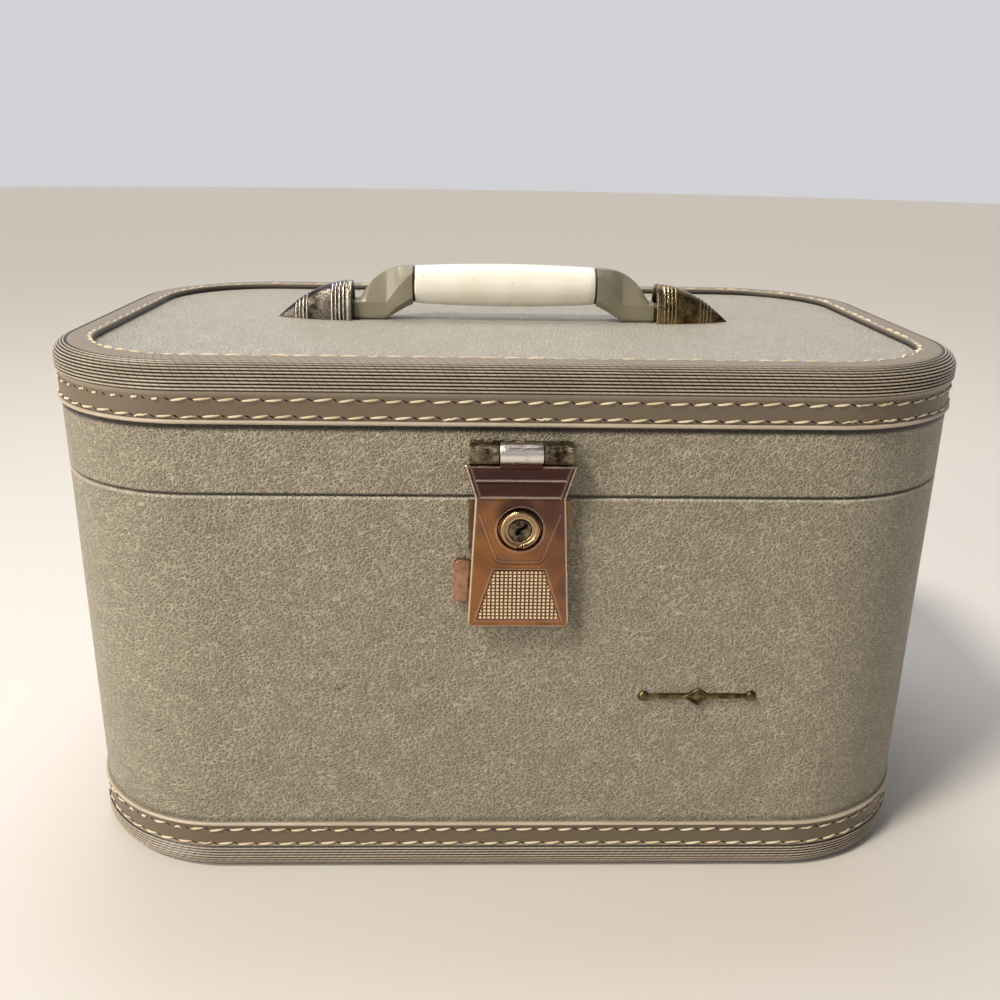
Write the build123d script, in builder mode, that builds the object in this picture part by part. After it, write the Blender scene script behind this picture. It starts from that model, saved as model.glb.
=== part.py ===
from build123d import *

import os
from math import cos, pi, sin, sqrt

# A hard train case: a covered board box with a hinged lid, a latch with a key lock, a carrying
# handle, a lift-out tray and a mirror in the lid.
# Millimetres. The origin is the middle of the underside, +Z is up and the front faces -Y.

# Body and lid, measured on the covering
case_width = 330.0
case_depth = 205.5
case_height = 196.4
corner_radius = 57.0
lid_height = 45.3
seam_gap = 0.6

# Sheet materials
cover_thickness = 0.8
board_thickness = 5.0
lining_thickness = 0.8
edge_bevel = 3.0
cover_turn_in = 12.0
cover_joint_gap = 0.3

# Moulded bindings round the upper and lower edges
binding_proud = 1.3
binding_seat = 2.6
binding_leg = 13.8
binding_height = 20.6
binding_round = 5.4
rib_pitch = 1.7
rib_depth = 0.5
rib_rows = 7

# Tongue that closes the seam from inside
closure_thickness = 1.5
closure_below_seam = 16.0
closure_above_seam = 7.0
closure_clearance = 0.35
lid_lining_gap = 3.0

# Tray and the ledges that carry it
ledge_below_rim = 42.8
ledge_height = 12.0
ledge_thickness = 6.0
ledge_length_ends = 70.0
ledge_length_sides = 150.0
tray_side_clearance = 2.6
tray_rest_gap = 0.2
tray_height = 38.0
tray_wall = 2.0
tray_front_row = 62.0
tray_divider_height = 30.0
tray_finger_width = 26.0
tray_finger_depth = 10.0

# Mirror in the lid
mirror_length = 190.0
mirror_breadth = 112.0
mirror_corner = 14.0
mirror_thickness = 2.0
mirror_frame_width = 7.0
mirror_frame_depth = 3.4
mirror_lip = 3.0
mirror_clearance = 0.3
mirror_seat = 0.1

# Butt hinges on the back
hinge_spacing = 160.0
hinge_width = 40.0
hinge_leaf_height = 17.0
hinge_leaf_thickness = 1.2
knuckle_radius = 2.6
knuckle_standoff = 0.3
knuckle_gap = 0.3
centre_knuckle_length = 14.0
hinge_pin_radius = 1.5
pin_clearance = 0.05

# Latch on the front: the heights of its parts are drops below the axis of its hinge
latch_x = 3.0
latch_below_lip = 7.8
latch_barrel_radius = 3.6
latch_barrel_half = 17.2
latch_centre_half = 7.2
latch_leaf_thickness = 0.8
latch_leaf_above_axis = 5.0
latch_leaf_below_axis = 7.5
latch_pin_radius = 1.5
flap_top_drop = 4.1
flap_waist_drop = 15.5
flap_bottom_drop = 63.1
flap_top_half = 18.8
flap_waist_half = 15.3
flap_bottom_half = 17.8
flap_corner = 2.5
flap_thickness = 1.6
flap_edge = 0.35
flap_groove_drops = (9.3, 15.2)
flap_groove_half = 13.6
flap_groove_width = 0.7
flap_groove_depth = 0.3
grip_panel_top_drop = 40.1
grip_panel_bottom_drop = 59.6
grip_panel_top_half = 8.6
grip_panel_bottom_half = 15.0
grip_panel_depth = 0.3

# Lock case, key cylinder and release slide
lock_plate_half = 17.4
lock_plate_drop = 35.4
lock_plate_thickness = 0.7
lock_plate_below_seam = 0.5
lock_case_half = 12.5
lock_case_drop = 59.0
lock_case_depth = 3.2
lock_flap_gap = 0.4
lock_channel_half = 8.4
lock_channel_drop = 55.0
lock_drop = 26.5
lock_ring_radius = 7.5
lock_ring_proud = 1.6
lock_ring_round = 1.1
lock_barrel_radius = 6.4
lock_barrel_depth = 1.3
lock_plug_radius = 3.75
lock_running_clearance = 0.05
lock_plug_recess = 0.5
keyway_width = 1.1
keyway_length = 4.6
keyway_depth = 2.2
cam_length = 10.6
cam_width = 4.4
cam_thickness = 0.8
cam_clearance = 0.15
cam_pocket_reach = 11.2
cam_pocket_half = 7.2
slide_drop = 47.5
slide_tab_bottom_drop = 54.5
slide_tab_top_drop = 39.0
slide_tab_left = -22.3
slide_tab_length = 5.5
slide_tab_back = 0.3
slide_tab_thickness = 2.2
slide_bar_half = 2.2
slide_bar_back = 1.9
slide_bar_thickness = 0.8
slide_bar_clearance = 0.15
slide_bar_tip = -2.9
staple_half_width = 2.4
staple_half_height = 4.0
staple_reach = 2.6
staple_tip_thickness = 0.6

# Carrying handle
handle_setback = 5.0
handle_rise = 14.2
handle_rest_gap = 0.3
cap_mouth = 63.5
cap_tip = 94.3
cap_height = 15.6
cap_half_width = 8.2
cap_shoulder = 0.5
cap_pocket_depth = 8.5
cap_pocket_half_width = 6.0
cap_pocket_height = 13.4
cap_stations = (0.0, 0.2, 0.38, 0.54, 0.68, 0.8, 0.9, 0.98)
grip_half_length = 37.5
grip_end_radius = 7.7
grip_middle_radius = 8.8
grip_stations = (-1.0, -0.6, -0.2, 0.2, 0.6, 1.0)
collar_thickness = 0.8
collar_radius = 7.2
core_width = 7.0
core_thickness = 3.0
core_clearance = 0.1
core_embed = 6.0
tongue_height = 7.8
tongue_half_width = 5.2
tongue_end_play = 0.6
arm_elbow = 5.6
arm_face_half_width = 7.7
arm_half_widths = (7.5, 7.1, 6.4)
arm_underside_rises = (3.9, 0.5, 0.0)
arm_top_rises = (7.3, 5.9, 2.0)
arm_ridge = 0.62
arm_top_share = 0.45
arm_bottom_share = 0.75

# Ornament on the front
badge_x = 69.4
badge_height = 75.0
badge_length = 43.6
badge_bar_width = 2.4
badge_ball_radius = 2.1
badge_lozenge_length = 11.0
badge_lozenge_height = 7.0
badge_thickness = 1.6

# Heights and planes that follow from the sizes above
seam_height = case_height - lid_height
body_top = seam_height - seam_gap / 2
lid_bottom = seam_height + seam_gap / 2
lower_cover_face = binding_seat
lower_board_face = lower_cover_face + cover_thickness
floor_level = lower_board_face + board_thickness
upper_cover_face = case_height - binding_seat
upper_board_face = upper_cover_face - cover_thickness
ceiling_level = upper_board_face - board_thickness
latch_axis_height = case_height - binding_height - latch_below_lip
flap_top = latch_axis_height - flap_top_drop
flap_bottom = latch_axis_height - flap_bottom_drop
grip_panel_top = latch_axis_height - grip_panel_top_drop
grip_panel_bottom = latch_axis_height - grip_panel_bottom_drop
lock_height = latch_axis_height - lock_drop
slide_height = latch_axis_height - slide_drop
handle_axis_height = upper_cover_face + handle_rise
ledge_top = body_top - ledge_below_rim
wall_inset = cover_thickness
inner_inset = cover_thickness + board_thickness
lined_inset = inner_inset + lining_thickness
closure_bottom = body_top - closure_below_seam
closure_top = body_top + closure_above_seam
bevel_inside = edge_bevel + cover_thickness * (sqrt(2) - 1)
cut_past = 1.0

# Section plane at the middle of the front: local x runs into the case and local y runs up.
section_plane = Plane(origin=(0, -case_depth / 2, 0), x_dir=(0, 1, 0), z_dir=(1, 0, 0))

os.makedirs("parts", exist_ok=True)


def plan_outline(inset, mode=Mode.ADD):
    """Plan outline of the case, moved inward by inset."""
    return RectangleRounded(
        case_width - 2 * inset, case_depth - 2 * inset, corner_radius - inset, mode=mode
    )


def ribbed_edge(rows):
    """Points of a binding's outer side, from the top of its ribs to the end of its flat leg.

    The section's corner is at (-binding_proud, 0): ribs run down the upright side, then round
    the corner, each with a crest on the surface and a root rib_depth behind it.
    """
    centre_x = binding_round - binding_proud
    arc_length = binding_round * pi / 2
    points = []
    for step in range(2 * rows + 1):
        along = step * rib_pitch / 2
        depth = rib_depth * (step % 2)
        upright = rows * rib_pitch - arc_length - along
        if upright >= 0:
            points.append((-binding_proud + depth, binding_round + upright))
        else:
            turn = -upright / binding_round
            reach = binding_round - depth
            points.append((centre_x - reach * cos(turn), binding_round - reach * sin(turn)))
    return points


def binding_section(rows, lip_height):
    """Closed L-shaped section of a binding whose flat leg lies on height zero."""
    leg_end = binding_leg - binding_proud
    ribs = ribbed_edge(rows)
    return [
        (0, lip_height),
        (-binding_proud, lip_height),
        *ribs,
        (leg_end, 0),
        (leg_end, binding_seat),
        (edge_bevel, binding_seat),
        (0, binding_seat + edge_bevel),
    ]


def cover_section(end_height):
    """Closed section of a wall covering turned in under the board, its turn-in at height zero."""
    return [
        (0, end_height),
        (0, edge_bevel),
        (edge_bevel, 0),
        (cover_turn_in, 0),
        (cover_turn_in, cover_thickness),
        (bevel_inside, cover_thickness),
        (cover_thickness, bevel_inside),
        (cover_thickness, end_height),
    ]


def arch_outline(half_width, height):
    """Closed upright arch whose flat foot lies on the lid's panel, in a plane across the handle."""
    foot = upper_cover_face
    spring = foot + height * cap_shoulder
    Polyline(
        (handle_setback - half_width, spring),
        (handle_setback - half_width, foot),
        (handle_setback + half_width, foot),
        (handle_setback + half_width, spring),
    )
    ThreePointArc(
        (handle_setback + half_width, spring),
        (handle_setback, foot + height),
        (handle_setback - half_width, spring),
    )


# The outline that the bindings and coverings are swept along
with BuildLine() as outline_path:
    run_x = case_width / 2 - corner_radius
    run_y = case_depth / 2 - corner_radius
    Polyline((0, -case_depth / 2), (run_x, -case_depth / 2))
    CenterArc((run_x, -run_y), corner_radius, -90, 90)
    Line((case_width / 2, -run_y), (case_width / 2, run_y))
    CenterArc((run_x, run_y), corner_radius, 0, 90)
    Line((run_x, case_depth / 2), (-run_x, case_depth / 2))
    CenterArc((-run_x, run_y), corner_radius, 90, 90)
    Line((-case_width / 2, run_y), (-case_width / 2, -run_y))
    CenterArc((-run_x, -run_y), corner_radius, 180, 90)
    Line((-run_x, -case_depth / 2), (0, -case_depth / 2))

hinge_centres = (-hinge_spacing / 2, hinge_spacing / 2)
back_plane = Plane.XZ.offset(-case_depth / 2)

# ---------------------------------------------------------------- body: boards and coverings

with BuildPart() as bottom_board:
    with BuildSketch(Plane.XY.offset(lower_board_face)):
        plan_outline(wall_inset)
    extrude(amount=board_thickness)
    chamfer(bottom_board.edges().group_by(Axis.Z)[0], bevel_inside - cover_thickness)
bottom_board.part.label = "bottom_board"
export_step(bottom_board.part, "parts/bottom_board.step")

with BuildPart() as body_wall:
    with BuildSketch(Plane.XY.offset(floor_level)):
        plan_outline(wall_inset)
        plan_outline(inner_inset, mode=Mode.SUBTRACT)
    extrude(amount=body_top - floor_level)
body_wall.part.label = "body_wall"
export_step(body_wall.part, "parts/body_wall.step")

with BuildPart() as body_cover:
    with BuildSketch(section_plane):
        with BuildLine():
            Polyline(
                *[(x, lower_cover_face + y) for x, y in cover_section(body_top - lower_cover_face)],
                close=True,
            )
        make_face()
    sweep(path=outline_path.line)
body_cover.part.label = "body_cover"
export_step(body_cover.part, "parts/body_cover.step")

with BuildPart() as bottom_cover:
    with BuildSketch(Plane.XY.offset(lower_cover_face)):
        plan_outline(cover_turn_in + cover_joint_gap)
    extrude(amount=cover_thickness)
bottom_cover.part.label = "bottom_cover"
export_step(bottom_cover.part, "parts/bottom_cover.step")

with BuildPart() as bottom_binding:
    with BuildSketch(section_plane):
        with BuildLine():
            Polyline(*binding_section(rib_rows, binding_height), close=True)
        make_face()
    sweep(path=outline_path.line)
bottom_binding.part.label = "bottom_binding"
export_step(bottom_binding.part, "parts/bottom_binding.step")

with BuildPart() as body_lining:
    with BuildSketch(Plane.XY.offset(floor_level)):
        plan_outline(inner_inset)
    extrude(amount=closure_bottom - floor_level)
    with BuildSketch(Plane.XY.offset(floor_level + lining_thickness)):
        plan_outline(lined_inset)
    extrude(amount=closure_bottom - floor_level, mode=Mode.SUBTRACT)
body_lining.part.label = "body_lining"
export_step(body_lining.part, "parts/body_lining.step")

# The tongue stands against the wall below the seam and clears the lid wall above it.
with BuildPart() as closure_strip:
    with BuildSketch(section_plane):
        with BuildLine():
            Polyline(
                (inner_inset, closure_bottom),
                (inner_inset + closure_thickness, closure_bottom),
                (inner_inset + closure_thickness, closure_top),
                (inner_inset + closure_clearance, closure_top),
                (inner_inset + closure_clearance, body_top),
                (inner_inset, body_top),
                close=True,
            )
        make_face()
    sweep(path=outline_path.line)
closure_strip.part.label = "closure_strip"
export_step(closure_strip.part, "parts/closure_strip.step")

# Four covered battens on the lining carry the tray.
ledge_x = case_width / 2 - lined_inset - ledge_thickness / 2
ledge_y = case_depth / 2 - lined_inset - ledge_thickness / 2
with BuildPart() as tray_ledges:
    with BuildSketch(Plane.XY.offset(ledge_top - ledge_height)):
        with Locations((-ledge_x, 0), (ledge_x, 0)):
            Rectangle(ledge_thickness, ledge_length_ends)
        with Locations((0, -ledge_y), (0, ledge_y)):
            Rectangle(ledge_length_sides, ledge_thickness)
    extrude(amount=ledge_height)
tray_ledges.part.label = "tray_ledges"
export_step(tray_ledges.part, "parts/tray_ledges.step")

# ---------------------------------------------------------------- lid: boards and coverings

with BuildPart() as lid_wall:
    with BuildSketch(Plane.XY.offset(lid_bottom)):
        plan_outline(wall_inset)
        plan_outline(inner_inset, mode=Mode.SUBTRACT)
    extrude(amount=ceiling_level - lid_bottom)
lid_wall.part.label = "lid_wall"
export_step(lid_wall.part, "parts/lid_wall.step")

with BuildPart() as lid_cover:
    with BuildSketch(section_plane):
        with BuildLine():
            Polyline(
                *[(x, upper_cover_face - y) for x, y in cover_section(upper_cover_face - lid_bottom)],
                close=True,
            )
        make_face()
    sweep(path=outline_path.line)
lid_cover.part.label = "lid_cover"
export_step(lid_cover.part, "parts/lid_cover.step")

with BuildPart() as top_board:
    with BuildSketch(Plane.XY.offset(ceiling_level)):
        plan_outline(wall_inset)
    extrude(amount=board_thickness)
    chamfer(top_board.edges().group_by(Axis.Z)[-1], bevel_inside - cover_thickness)
top_board.part.label = "top_board"
export_step(top_board.part, "parts/top_board.step")

with BuildPart() as top_cover:
    with BuildSketch(Plane.XY.offset(upper_board_face)):
        plan_outline(cover_turn_in + cover_joint_gap)
    extrude(amount=cover_thickness)
top_cover.part.label = "top_cover"
export_step(top_cover.part, "parts/top_cover.step")

with BuildPart() as top_binding:
    with BuildSketch(section_plane):
        with BuildLine():
            Polyline(
                *[(x, case_height - y) for x, y in binding_section(rib_rows, binding_height)],
                close=True,
            )
        make_face()
    sweep(path=outline_path.line)
top_binding.part.label = "top_binding"
export_step(top_binding.part, "parts/top_binding.step")

lid_lining_bottom = closure_top + lid_lining_gap
with BuildPart() as lid_lining:
    with BuildSketch(Plane.XY.offset(lid_lining_bottom)):
        plan_outline(inner_inset)
    extrude(amount=ceiling_level - lid_lining_bottom)
    with BuildSketch(Plane.XY.offset(lid_lining_bottom)):
        plan_outline(lined_inset)
    extrude(amount=ceiling_level - lining_thickness - lid_lining_bottom, mode=Mode.SUBTRACT)
lid_lining.part.label = "lid_lining"
export_step(lid_lining.part, "parts/lid_lining.step")

# The mirror lies on the frame's lip, under the lining of the lid.
mirror_ceiling = ceiling_level - lining_thickness
frame_length = mirror_length + 2 * mirror_frame_width
frame_breadth = mirror_breadth + 2 * mirror_frame_width
with BuildPart() as mirror_frame:
    with BuildSketch(Plane.XY.offset(mirror_ceiling - mirror_frame_depth)):
        RectangleRounded(frame_length, frame_breadth, mirror_corner + mirror_frame_width)
        RectangleRounded(mirror_length, mirror_breadth, mirror_corner, mode=Mode.SUBTRACT)
    extrude(amount=mirror_frame_depth)
    with BuildSketch(Plane.XY.offset(mirror_ceiling - mirror_thickness - mirror_seat)):
        RectangleRounded(
            mirror_length + 2 * (mirror_lip + mirror_clearance),
            mirror_breadth + 2 * (mirror_lip + mirror_clearance),
            mirror_corner + mirror_lip + mirror_clearance,
        )
    extrude(amount=mirror_frame_depth, mode=Mode.SUBTRACT)
    chamfer(
        mirror_frame.faces().sort_by(Axis.Z)[0].outer_wire().edges(), mirror_frame_depth / 2
    )
mirror_frame.part.label = "mirror_frame"
export_step(mirror_frame.part, "parts/mirror_frame.step")

with BuildPart() as mirror:
    with BuildSketch(Plane.XY.offset(mirror_ceiling - mirror_thickness - mirror_seat)):
        RectangleRounded(
            mirror_length + 2 * mirror_lip, mirror_breadth + 2 * mirror_lip, mirror_corner + mirror_lip
        )
    extrude(amount=mirror_thickness)
mirror.part.label = "mirror"
export_step(mirror.part, "parts/mirror.step")

# ---------------------------------------------------------------- hinges on the back

hinge_axis_y = case_depth / 2 + knuckle_radius + knuckle_standoff
pin_bore = hinge_pin_radius + pin_clearance
notch_radius = knuckle_radius + knuckle_gap
outer_knuckle_start = centre_knuckle_length / 2 + knuckle_gap
outer_knuckle_length = hinge_width / 2 - outer_knuckle_start

for side_name, centre in zip(("left", "right"), hinge_centres):
    # Each leaf owns some of the knuckles and is cut back round the others.
    centre_run = [(centre - centre_knuckle_length / 2, centre_knuckle_length)]
    outer_runs = [
        (centre - hinge_width / 2, outer_knuckle_length),
        (centre + outer_knuckle_start, outer_knuckle_length),
    ]
    centre_notch = [(centre - outer_knuckle_start, 2 * outer_knuckle_start)]
    outer_notches = [
        (centre - hinge_width / 2 - cut_past, outer_knuckle_length + cut_past + knuckle_gap),
        (centre + centre_knuckle_length / 2, outer_knuckle_length + cut_past + knuckle_gap),
    ]
    for level, direction, knuckles, notches in (
        ("upper", 1, centre_run, outer_notches),
        ("lower", -1, outer_runs, centre_notch),
    ):
        with BuildPart() as hinge_leaf:
            with BuildSketch(back_plane):
                with Locations((centre, seam_height + direction * hinge_leaf_height / 2)):
                    Rectangle(hinge_width, hinge_leaf_height)
            extrude(amount=-hinge_leaf_thickness)
            for start, length in notches:
                with BuildSketch(Plane.YZ.offset(start)):
                    with Locations((hinge_axis_y, seam_height)):
                        Circle(notch_radius)
                extrude(amount=length, mode=Mode.SUBTRACT)
            for start, length in knuckles:
                with BuildSketch(Plane.YZ.offset(start)):
                    with Locations((hinge_axis_y, seam_height)):
                        Circle(knuckle_radius)
                extrude(amount=length)
            with BuildSketch(Plane.YZ.offset(centre - hinge_width / 2)):
                with Locations((hinge_axis_y, seam_height)):
                    Circle(pin_bore)
            extrude(amount=hinge_width, mode=Mode.SUBTRACT)
        hinge_leaf.part.label = f"hinge_{side_name}_{level}_leaf"
        export_step(hinge_leaf.part, f"parts/hinge_{side_name}_{level}_leaf.step")

with BuildPart() as hinge_pins:
    for centre in hinge_centres:
        with BuildSketch(Plane.YZ.offset(centre - hinge_width / 2)):
            with Locations((hinge_axis_y, seam_height)):
                Circle(hinge_pin_radius)
        extrude(amount=hinge_width)
hinge_pins.part.label = "hinge_pins"
export_step(hinge_pins.part, "parts/hinge_pins.step")

# ---------------------------------------------------------------- latch: hinge on the lid

# Depths are measured outward from the front of the covering.
latch_axis_depth = latch_leaf_thickness + latch_barrel_radius
latch_axis_y = -(case_depth / 2 + latch_axis_depth)
latch_leaf_top = latch_axis_height + latch_leaf_above_axis
latch_leaf_bottom = latch_axis_height - latch_leaf_below_axis
flap_back_depth = lock_case_depth + lock_flap_gap
flap_front_depth = flap_back_depth + flap_thickness
latch_bore = latch_pin_radius + pin_clearance
latch_outer_start = latch_centre_half + knuckle_gap


def front_offset(depth):
    """Plane parallel to the front that stands depth outside the covering, facing forward."""
    return Plane.XZ.offset(case_depth / 2 + depth)


with BuildPart() as latch_hinge_leaf:
    with BuildSketch(front_offset(0)):
        with Locations((latch_x, (latch_leaf_top + latch_leaf_bottom) / 2)):
            Rectangle(2 * latch_barrel_half, latch_leaf_top - latch_leaf_bottom)
    extrude(amount=latch_leaf_thickness)
    for start in (latch_x - latch_barrel_half, latch_x + latch_outer_start):
        with BuildSketch(Plane.YZ.offset(start)):
            with Locations((latch_axis_y, latch_axis_height)):
                Circle(latch_barrel_radius)
            with Locations((latch_axis_y + latch_barrel_radius / 2, latch_axis_height)):
                Rectangle(latch_barrel_radius, latch_barrel_radius)
        extrude(amount=latch_barrel_half - latch_outer_start)
    with BuildSketch(Plane.YZ.offset(latch_x - latch_barrel_half)):
        with Locations((latch_axis_y, latch_axis_height)):
            Circle(latch_bore)
    extrude(amount=2 * latch_barrel_half, mode=Mode.SUBTRACT)
latch_hinge_leaf.part.label = "latch_hinge_leaf"
export_step(latch_hinge_leaf.part, "parts/latch_hinge_leaf.step")

with BuildPart() as latch_hinge_pin:
    with BuildSketch(Plane.YZ.offset(latch_x - latch_barrel_half)):
        with Locations((latch_axis_y, latch_axis_height)):
            Circle(latch_pin_radius)
    extrude(amount=2 * latch_barrel_half)
latch_hinge_pin.part.label = "latch_hinge_pin"
export_step(latch_hinge_pin.part, "parts/latch_hinge_pin.step")

# ---------------------------------------------------------------- latch: flap with its lock

# The staple is a loop on the flap's back, which the slide's bar enters from the side.
flap_waist = latch_axis_height - flap_waist_drop
staple_tip_depth = flap_back_depth - staple_reach
ring_front_depth = flap_front_depth + lock_ring_proud
barrel_back_depth = flap_back_depth - lock_barrel_depth
cam_front_depth = barrel_back_depth - cam_clearance
plug_front_depth = ring_front_depth - lock_plug_recess

with BuildPart() as latch_flap:
    with BuildSketch(front_offset(flap_back_depth)) as flap_outline:
        with BuildLine():
            Polyline(
                (latch_x - flap_top_half, flap_top),
                (latch_x - flap_waist_half, flap_waist),
                (latch_x - flap_bottom_half, flap_bottom),
                (latch_x + flap_bottom_half, flap_bottom),
                (latch_x + flap_waist_half, flap_waist),
                (latch_x + flap_top_half, flap_top),
                close=True,
            )
        make_face()
        fillet(flap_outline.vertices().group_by(Axis.Y)[0], flap_corner)
    extrude(amount=flap_thickness)
    chamfer(latch_flap.faces().sort_by(Axis.Y)[0].outer_wire().edges(), flap_edge)
    with BuildSketch(Plane.YZ.offset(latch_x - latch_centre_half)):
        with Locations((latch_axis_y, latch_axis_height)):
            Circle(latch_barrel_radius)
        with Locations((-(case_depth / 2 + flap_back_depth + flap_thickness / 2),
                        (latch_axis_height + flap_top) / 2)):
            Rectangle(flap_thickness, latch_axis_height - flap_top + cut_past)
    extrude(amount=2 * latch_centre_half)
    with BuildSketch(Plane.YZ.offset(latch_x - latch_centre_half)):
        with Locations((latch_axis_y, latch_axis_height)):
            Circle(latch_bore)
    extrude(amount=2 * latch_centre_half, mode=Mode.SUBTRACT)
    with BuildSketch(front_offset(flap_front_depth)):
        with Locations(*[(latch_x, latch_axis_height - drop) for drop in flap_groove_drops]):
            Rectangle(2 * flap_groove_half, flap_groove_width)
    extrude(amount=-flap_groove_depth, mode=Mode.SUBTRACT)
    with BuildSketch(front_offset(flap_front_depth)):
        with BuildLine():
            Polyline(
                (latch_x - grip_panel_top_half, grip_panel_top),
                (latch_x - grip_panel_bottom_half, grip_panel_bottom),
                (latch_x + grip_panel_bottom_half, grip_panel_bottom),
                (latch_x + grip_panel_top_half, grip_panel_top),
                close=True,
            )
        make_face()
    extrude(amount=-grip_panel_depth, mode=Mode.SUBTRACT)
    with BuildSketch(front_offset(flap_back_depth)):
        with Locations((latch_x, lock_height)):
            Circle(lock_barrel_radius + pin_clearance)
    extrude(amount=flap_thickness, mode=Mode.SUBTRACT)
    with BuildSketch(front_offset(staple_tip_depth)):
        with Locations((latch_x, slide_height)):
            Rectangle(2 * staple_half_width, 2 * staple_half_height)
    extrude(amount=staple_reach)
    with BuildSketch(Plane.YZ.offset(latch_x - staple_half_width)):
        with Locations((-(case_depth / 2 + (staple_tip_depth + staple_tip_thickness + flap_back_depth) / 2),
                        slide_height)):
            Rectangle(staple_reach - staple_tip_thickness, 2 * (slide_bar_half + slide_bar_clearance))
    extrude(amount=2 * staple_half_width, mode=Mode.SUBTRACT)
latch_flap.part.label = "latch_flap"
export_step(latch_flap.part, "parts/latch_flap.step")

with BuildPart() as lock_ring:
    with BuildSketch(front_offset(barrel_back_depth)):
        with Locations((latch_x, lock_height)):
            Circle(lock_barrel_radius)
    extrude(amount=lock_barrel_depth + flap_thickness)
    with BuildSketch(front_offset(flap_front_depth)):
        with Locations((latch_x, lock_height)):
            Circle(lock_ring_radius)
    extrude(amount=lock_ring_proud)
    chamfer(lock_ring.edges().filter_by(GeomType.CIRCLE).sort_by(Axis.Y)[0], lock_ring_round)
    with BuildSketch(front_offset(barrel_back_depth)):
        with Locations((latch_x, lock_height)):
            Circle(lock_plug_radius + lock_running_clearance)
    extrude(amount=ring_front_depth - barrel_back_depth, mode=Mode.SUBTRACT)
lock_ring.part.label = "lock_ring"
export_step(lock_ring.part, "parts/lock_ring.step")

with BuildPart() as lock_plug:
    with BuildSketch(front_offset(cam_front_depth)):
        with Locations((latch_x, lock_height)):
            Circle(lock_plug_radius)
    extrude(amount=plug_front_depth - cam_front_depth)
    with BuildSketch(front_offset(plug_front_depth)):
        with Locations((latch_x, lock_height)):
            SlotOverall(keyway_length, keyway_width, rotation=45)
    extrude(amount=-keyway_depth, mode=Mode.SUBTRACT)
lock_plug.part.label = "lock_plug"
export_step(lock_plug.part, "parts/lock_plug.step")

# At rest the cam hangs down in the channel; a quarter turn swings it into its pocket.
with BuildPart() as lock_cam:
    with BuildSketch(front_offset(cam_front_depth - cam_thickness)):
        with Locations((latch_x, lock_height)):
            Circle(lock_plug_radius)
        with Locations((latch_x, lock_height - cam_length / 2)):
            Rectangle(cam_width, cam_length)
    extrude(amount=cam_thickness)
lock_cam.part.label = "lock_cam"
export_step(lock_cam.part, "parts/lock_cam.step")

# ---------------------------------------------------------------- latch: lock case on the body

lock_case_top = body_top - lock_plate_below_seam
lock_plate_bottom = latch_axis_height - lock_plate_drop
lock_case_bottom = latch_axis_height - lock_case_drop
lock_channel_bottom = latch_axis_height - lock_channel_drop
with BuildPart() as lock_case:
    with BuildSketch(front_offset(0)):
        with Locations((latch_x, (lock_case_top + lock_plate_bottom) / 2)):
            Rectangle(2 * lock_plate_half, lock_case_top - lock_plate_bottom)
    extrude(amount=lock_plate_thickness)
    with BuildSketch(front_offset(0)):
        with Locations((latch_x, (lock_case_top + lock_case_bottom) / 2)):
            Rectangle(2 * lock_case_half, lock_case_top - lock_case_bottom)
    extrude(amount=lock_case_depth)
    with BuildSketch(front_offset(lock_plate_thickness)):
        with Locations((latch_x, (lock_case_top + lock_channel_bottom) / 2)):
            Rectangle(2 * lock_channel_half, lock_case_top - lock_channel_bottom)
    extrude(amount=lock_case_depth, mode=Mode.SUBTRACT)
    with BuildSketch(front_offset(cam_front_depth - cam_thickness - cam_clearance)):
        with Locations((latch_x + cam_pocket_reach / 2, lock_height)):
            Rectangle(cam_pocket_reach, 2 * cam_pocket_half)
    extrude(amount=cam_thickness + 2 * cam_clearance, mode=Mode.SUBTRACT)
    with BuildSketch(front_offset(slide_bar_back - slide_bar_clearance)):
        with Locations((latch_x - lock_case_half / 2 - cut_past / 2, slide_height)):
            Rectangle(lock_case_half + cut_past, 2 * (slide_bar_half + slide_bar_clearance))
    extrude(amount=slide_bar_thickness + 2 * slide_bar_clearance, mode=Mode.SUBTRACT)
lock_case.part.label = "lock_case"
export_step(lock_case.part, "parts/lock_case.step")

# The slide stands in its released place; pushed to the right its bar enters the staple.
slide_bar_root = slide_tab_left + slide_tab_length / 2
slide_tab_top = latch_axis_height - slide_tab_top_drop
slide_tab_bottom = latch_axis_height - slide_tab_bottom_drop
with BuildPart() as latch_slide:
    with BuildSketch(front_offset(slide_tab_back)):
        with Locations((latch_x + slide_tab_left + slide_tab_length / 2,
                        (slide_tab_top + slide_tab_bottom) / 2)):
            Rectangle(slide_tab_length, slide_tab_top - slide_tab_bottom)
    extrude(amount=slide_tab_thickness)
    chamfer(latch_slide.faces().sort_by(Axis.Y)[0].edges(), flap_edge)
    with BuildSketch(front_offset(slide_bar_back)):
        with Locations((latch_x + (slide_bar_root + slide_bar_tip) / 2, slide_height)):
            Rectangle(slide_bar_tip - slide_bar_root, 2 * slide_bar_half)
    extrude(amount=slide_bar_thickness)
latch_slide.part.label = "latch_slide"
export_step(latch_slide.part, "parts/latch_slide.step")

# ---------------------------------------------------------------- carrying handle

for side_name, side in (("left", -1), ("right", 1)):
    with BuildPart() as handle_cap:
        for station in cap_stations:
            share = 1 - station**2
            with BuildSketch(Plane.YZ.offset(side * (cap_mouth + station * (cap_tip - cap_mouth)))):
                with BuildLine():
                    arch_outline(cap_half_width * share, cap_height * share)
                make_face()
        loft(ruled=True)
        with BuildSketch(Plane.YZ.offset(side * (cap_mouth - cut_past))):
            with BuildLine():
                arch_outline(cap_pocket_half_width, cap_pocket_height)
            make_face()
        extrude(amount=side * (cap_pocket_depth + cut_past), mode=Mode.SUBTRACT)
    handle_cap.part.label = f"handle_cap_{side_name}"
    export_step(handle_cap.part, f"parts/handle_cap_{side_name}.step")

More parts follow.
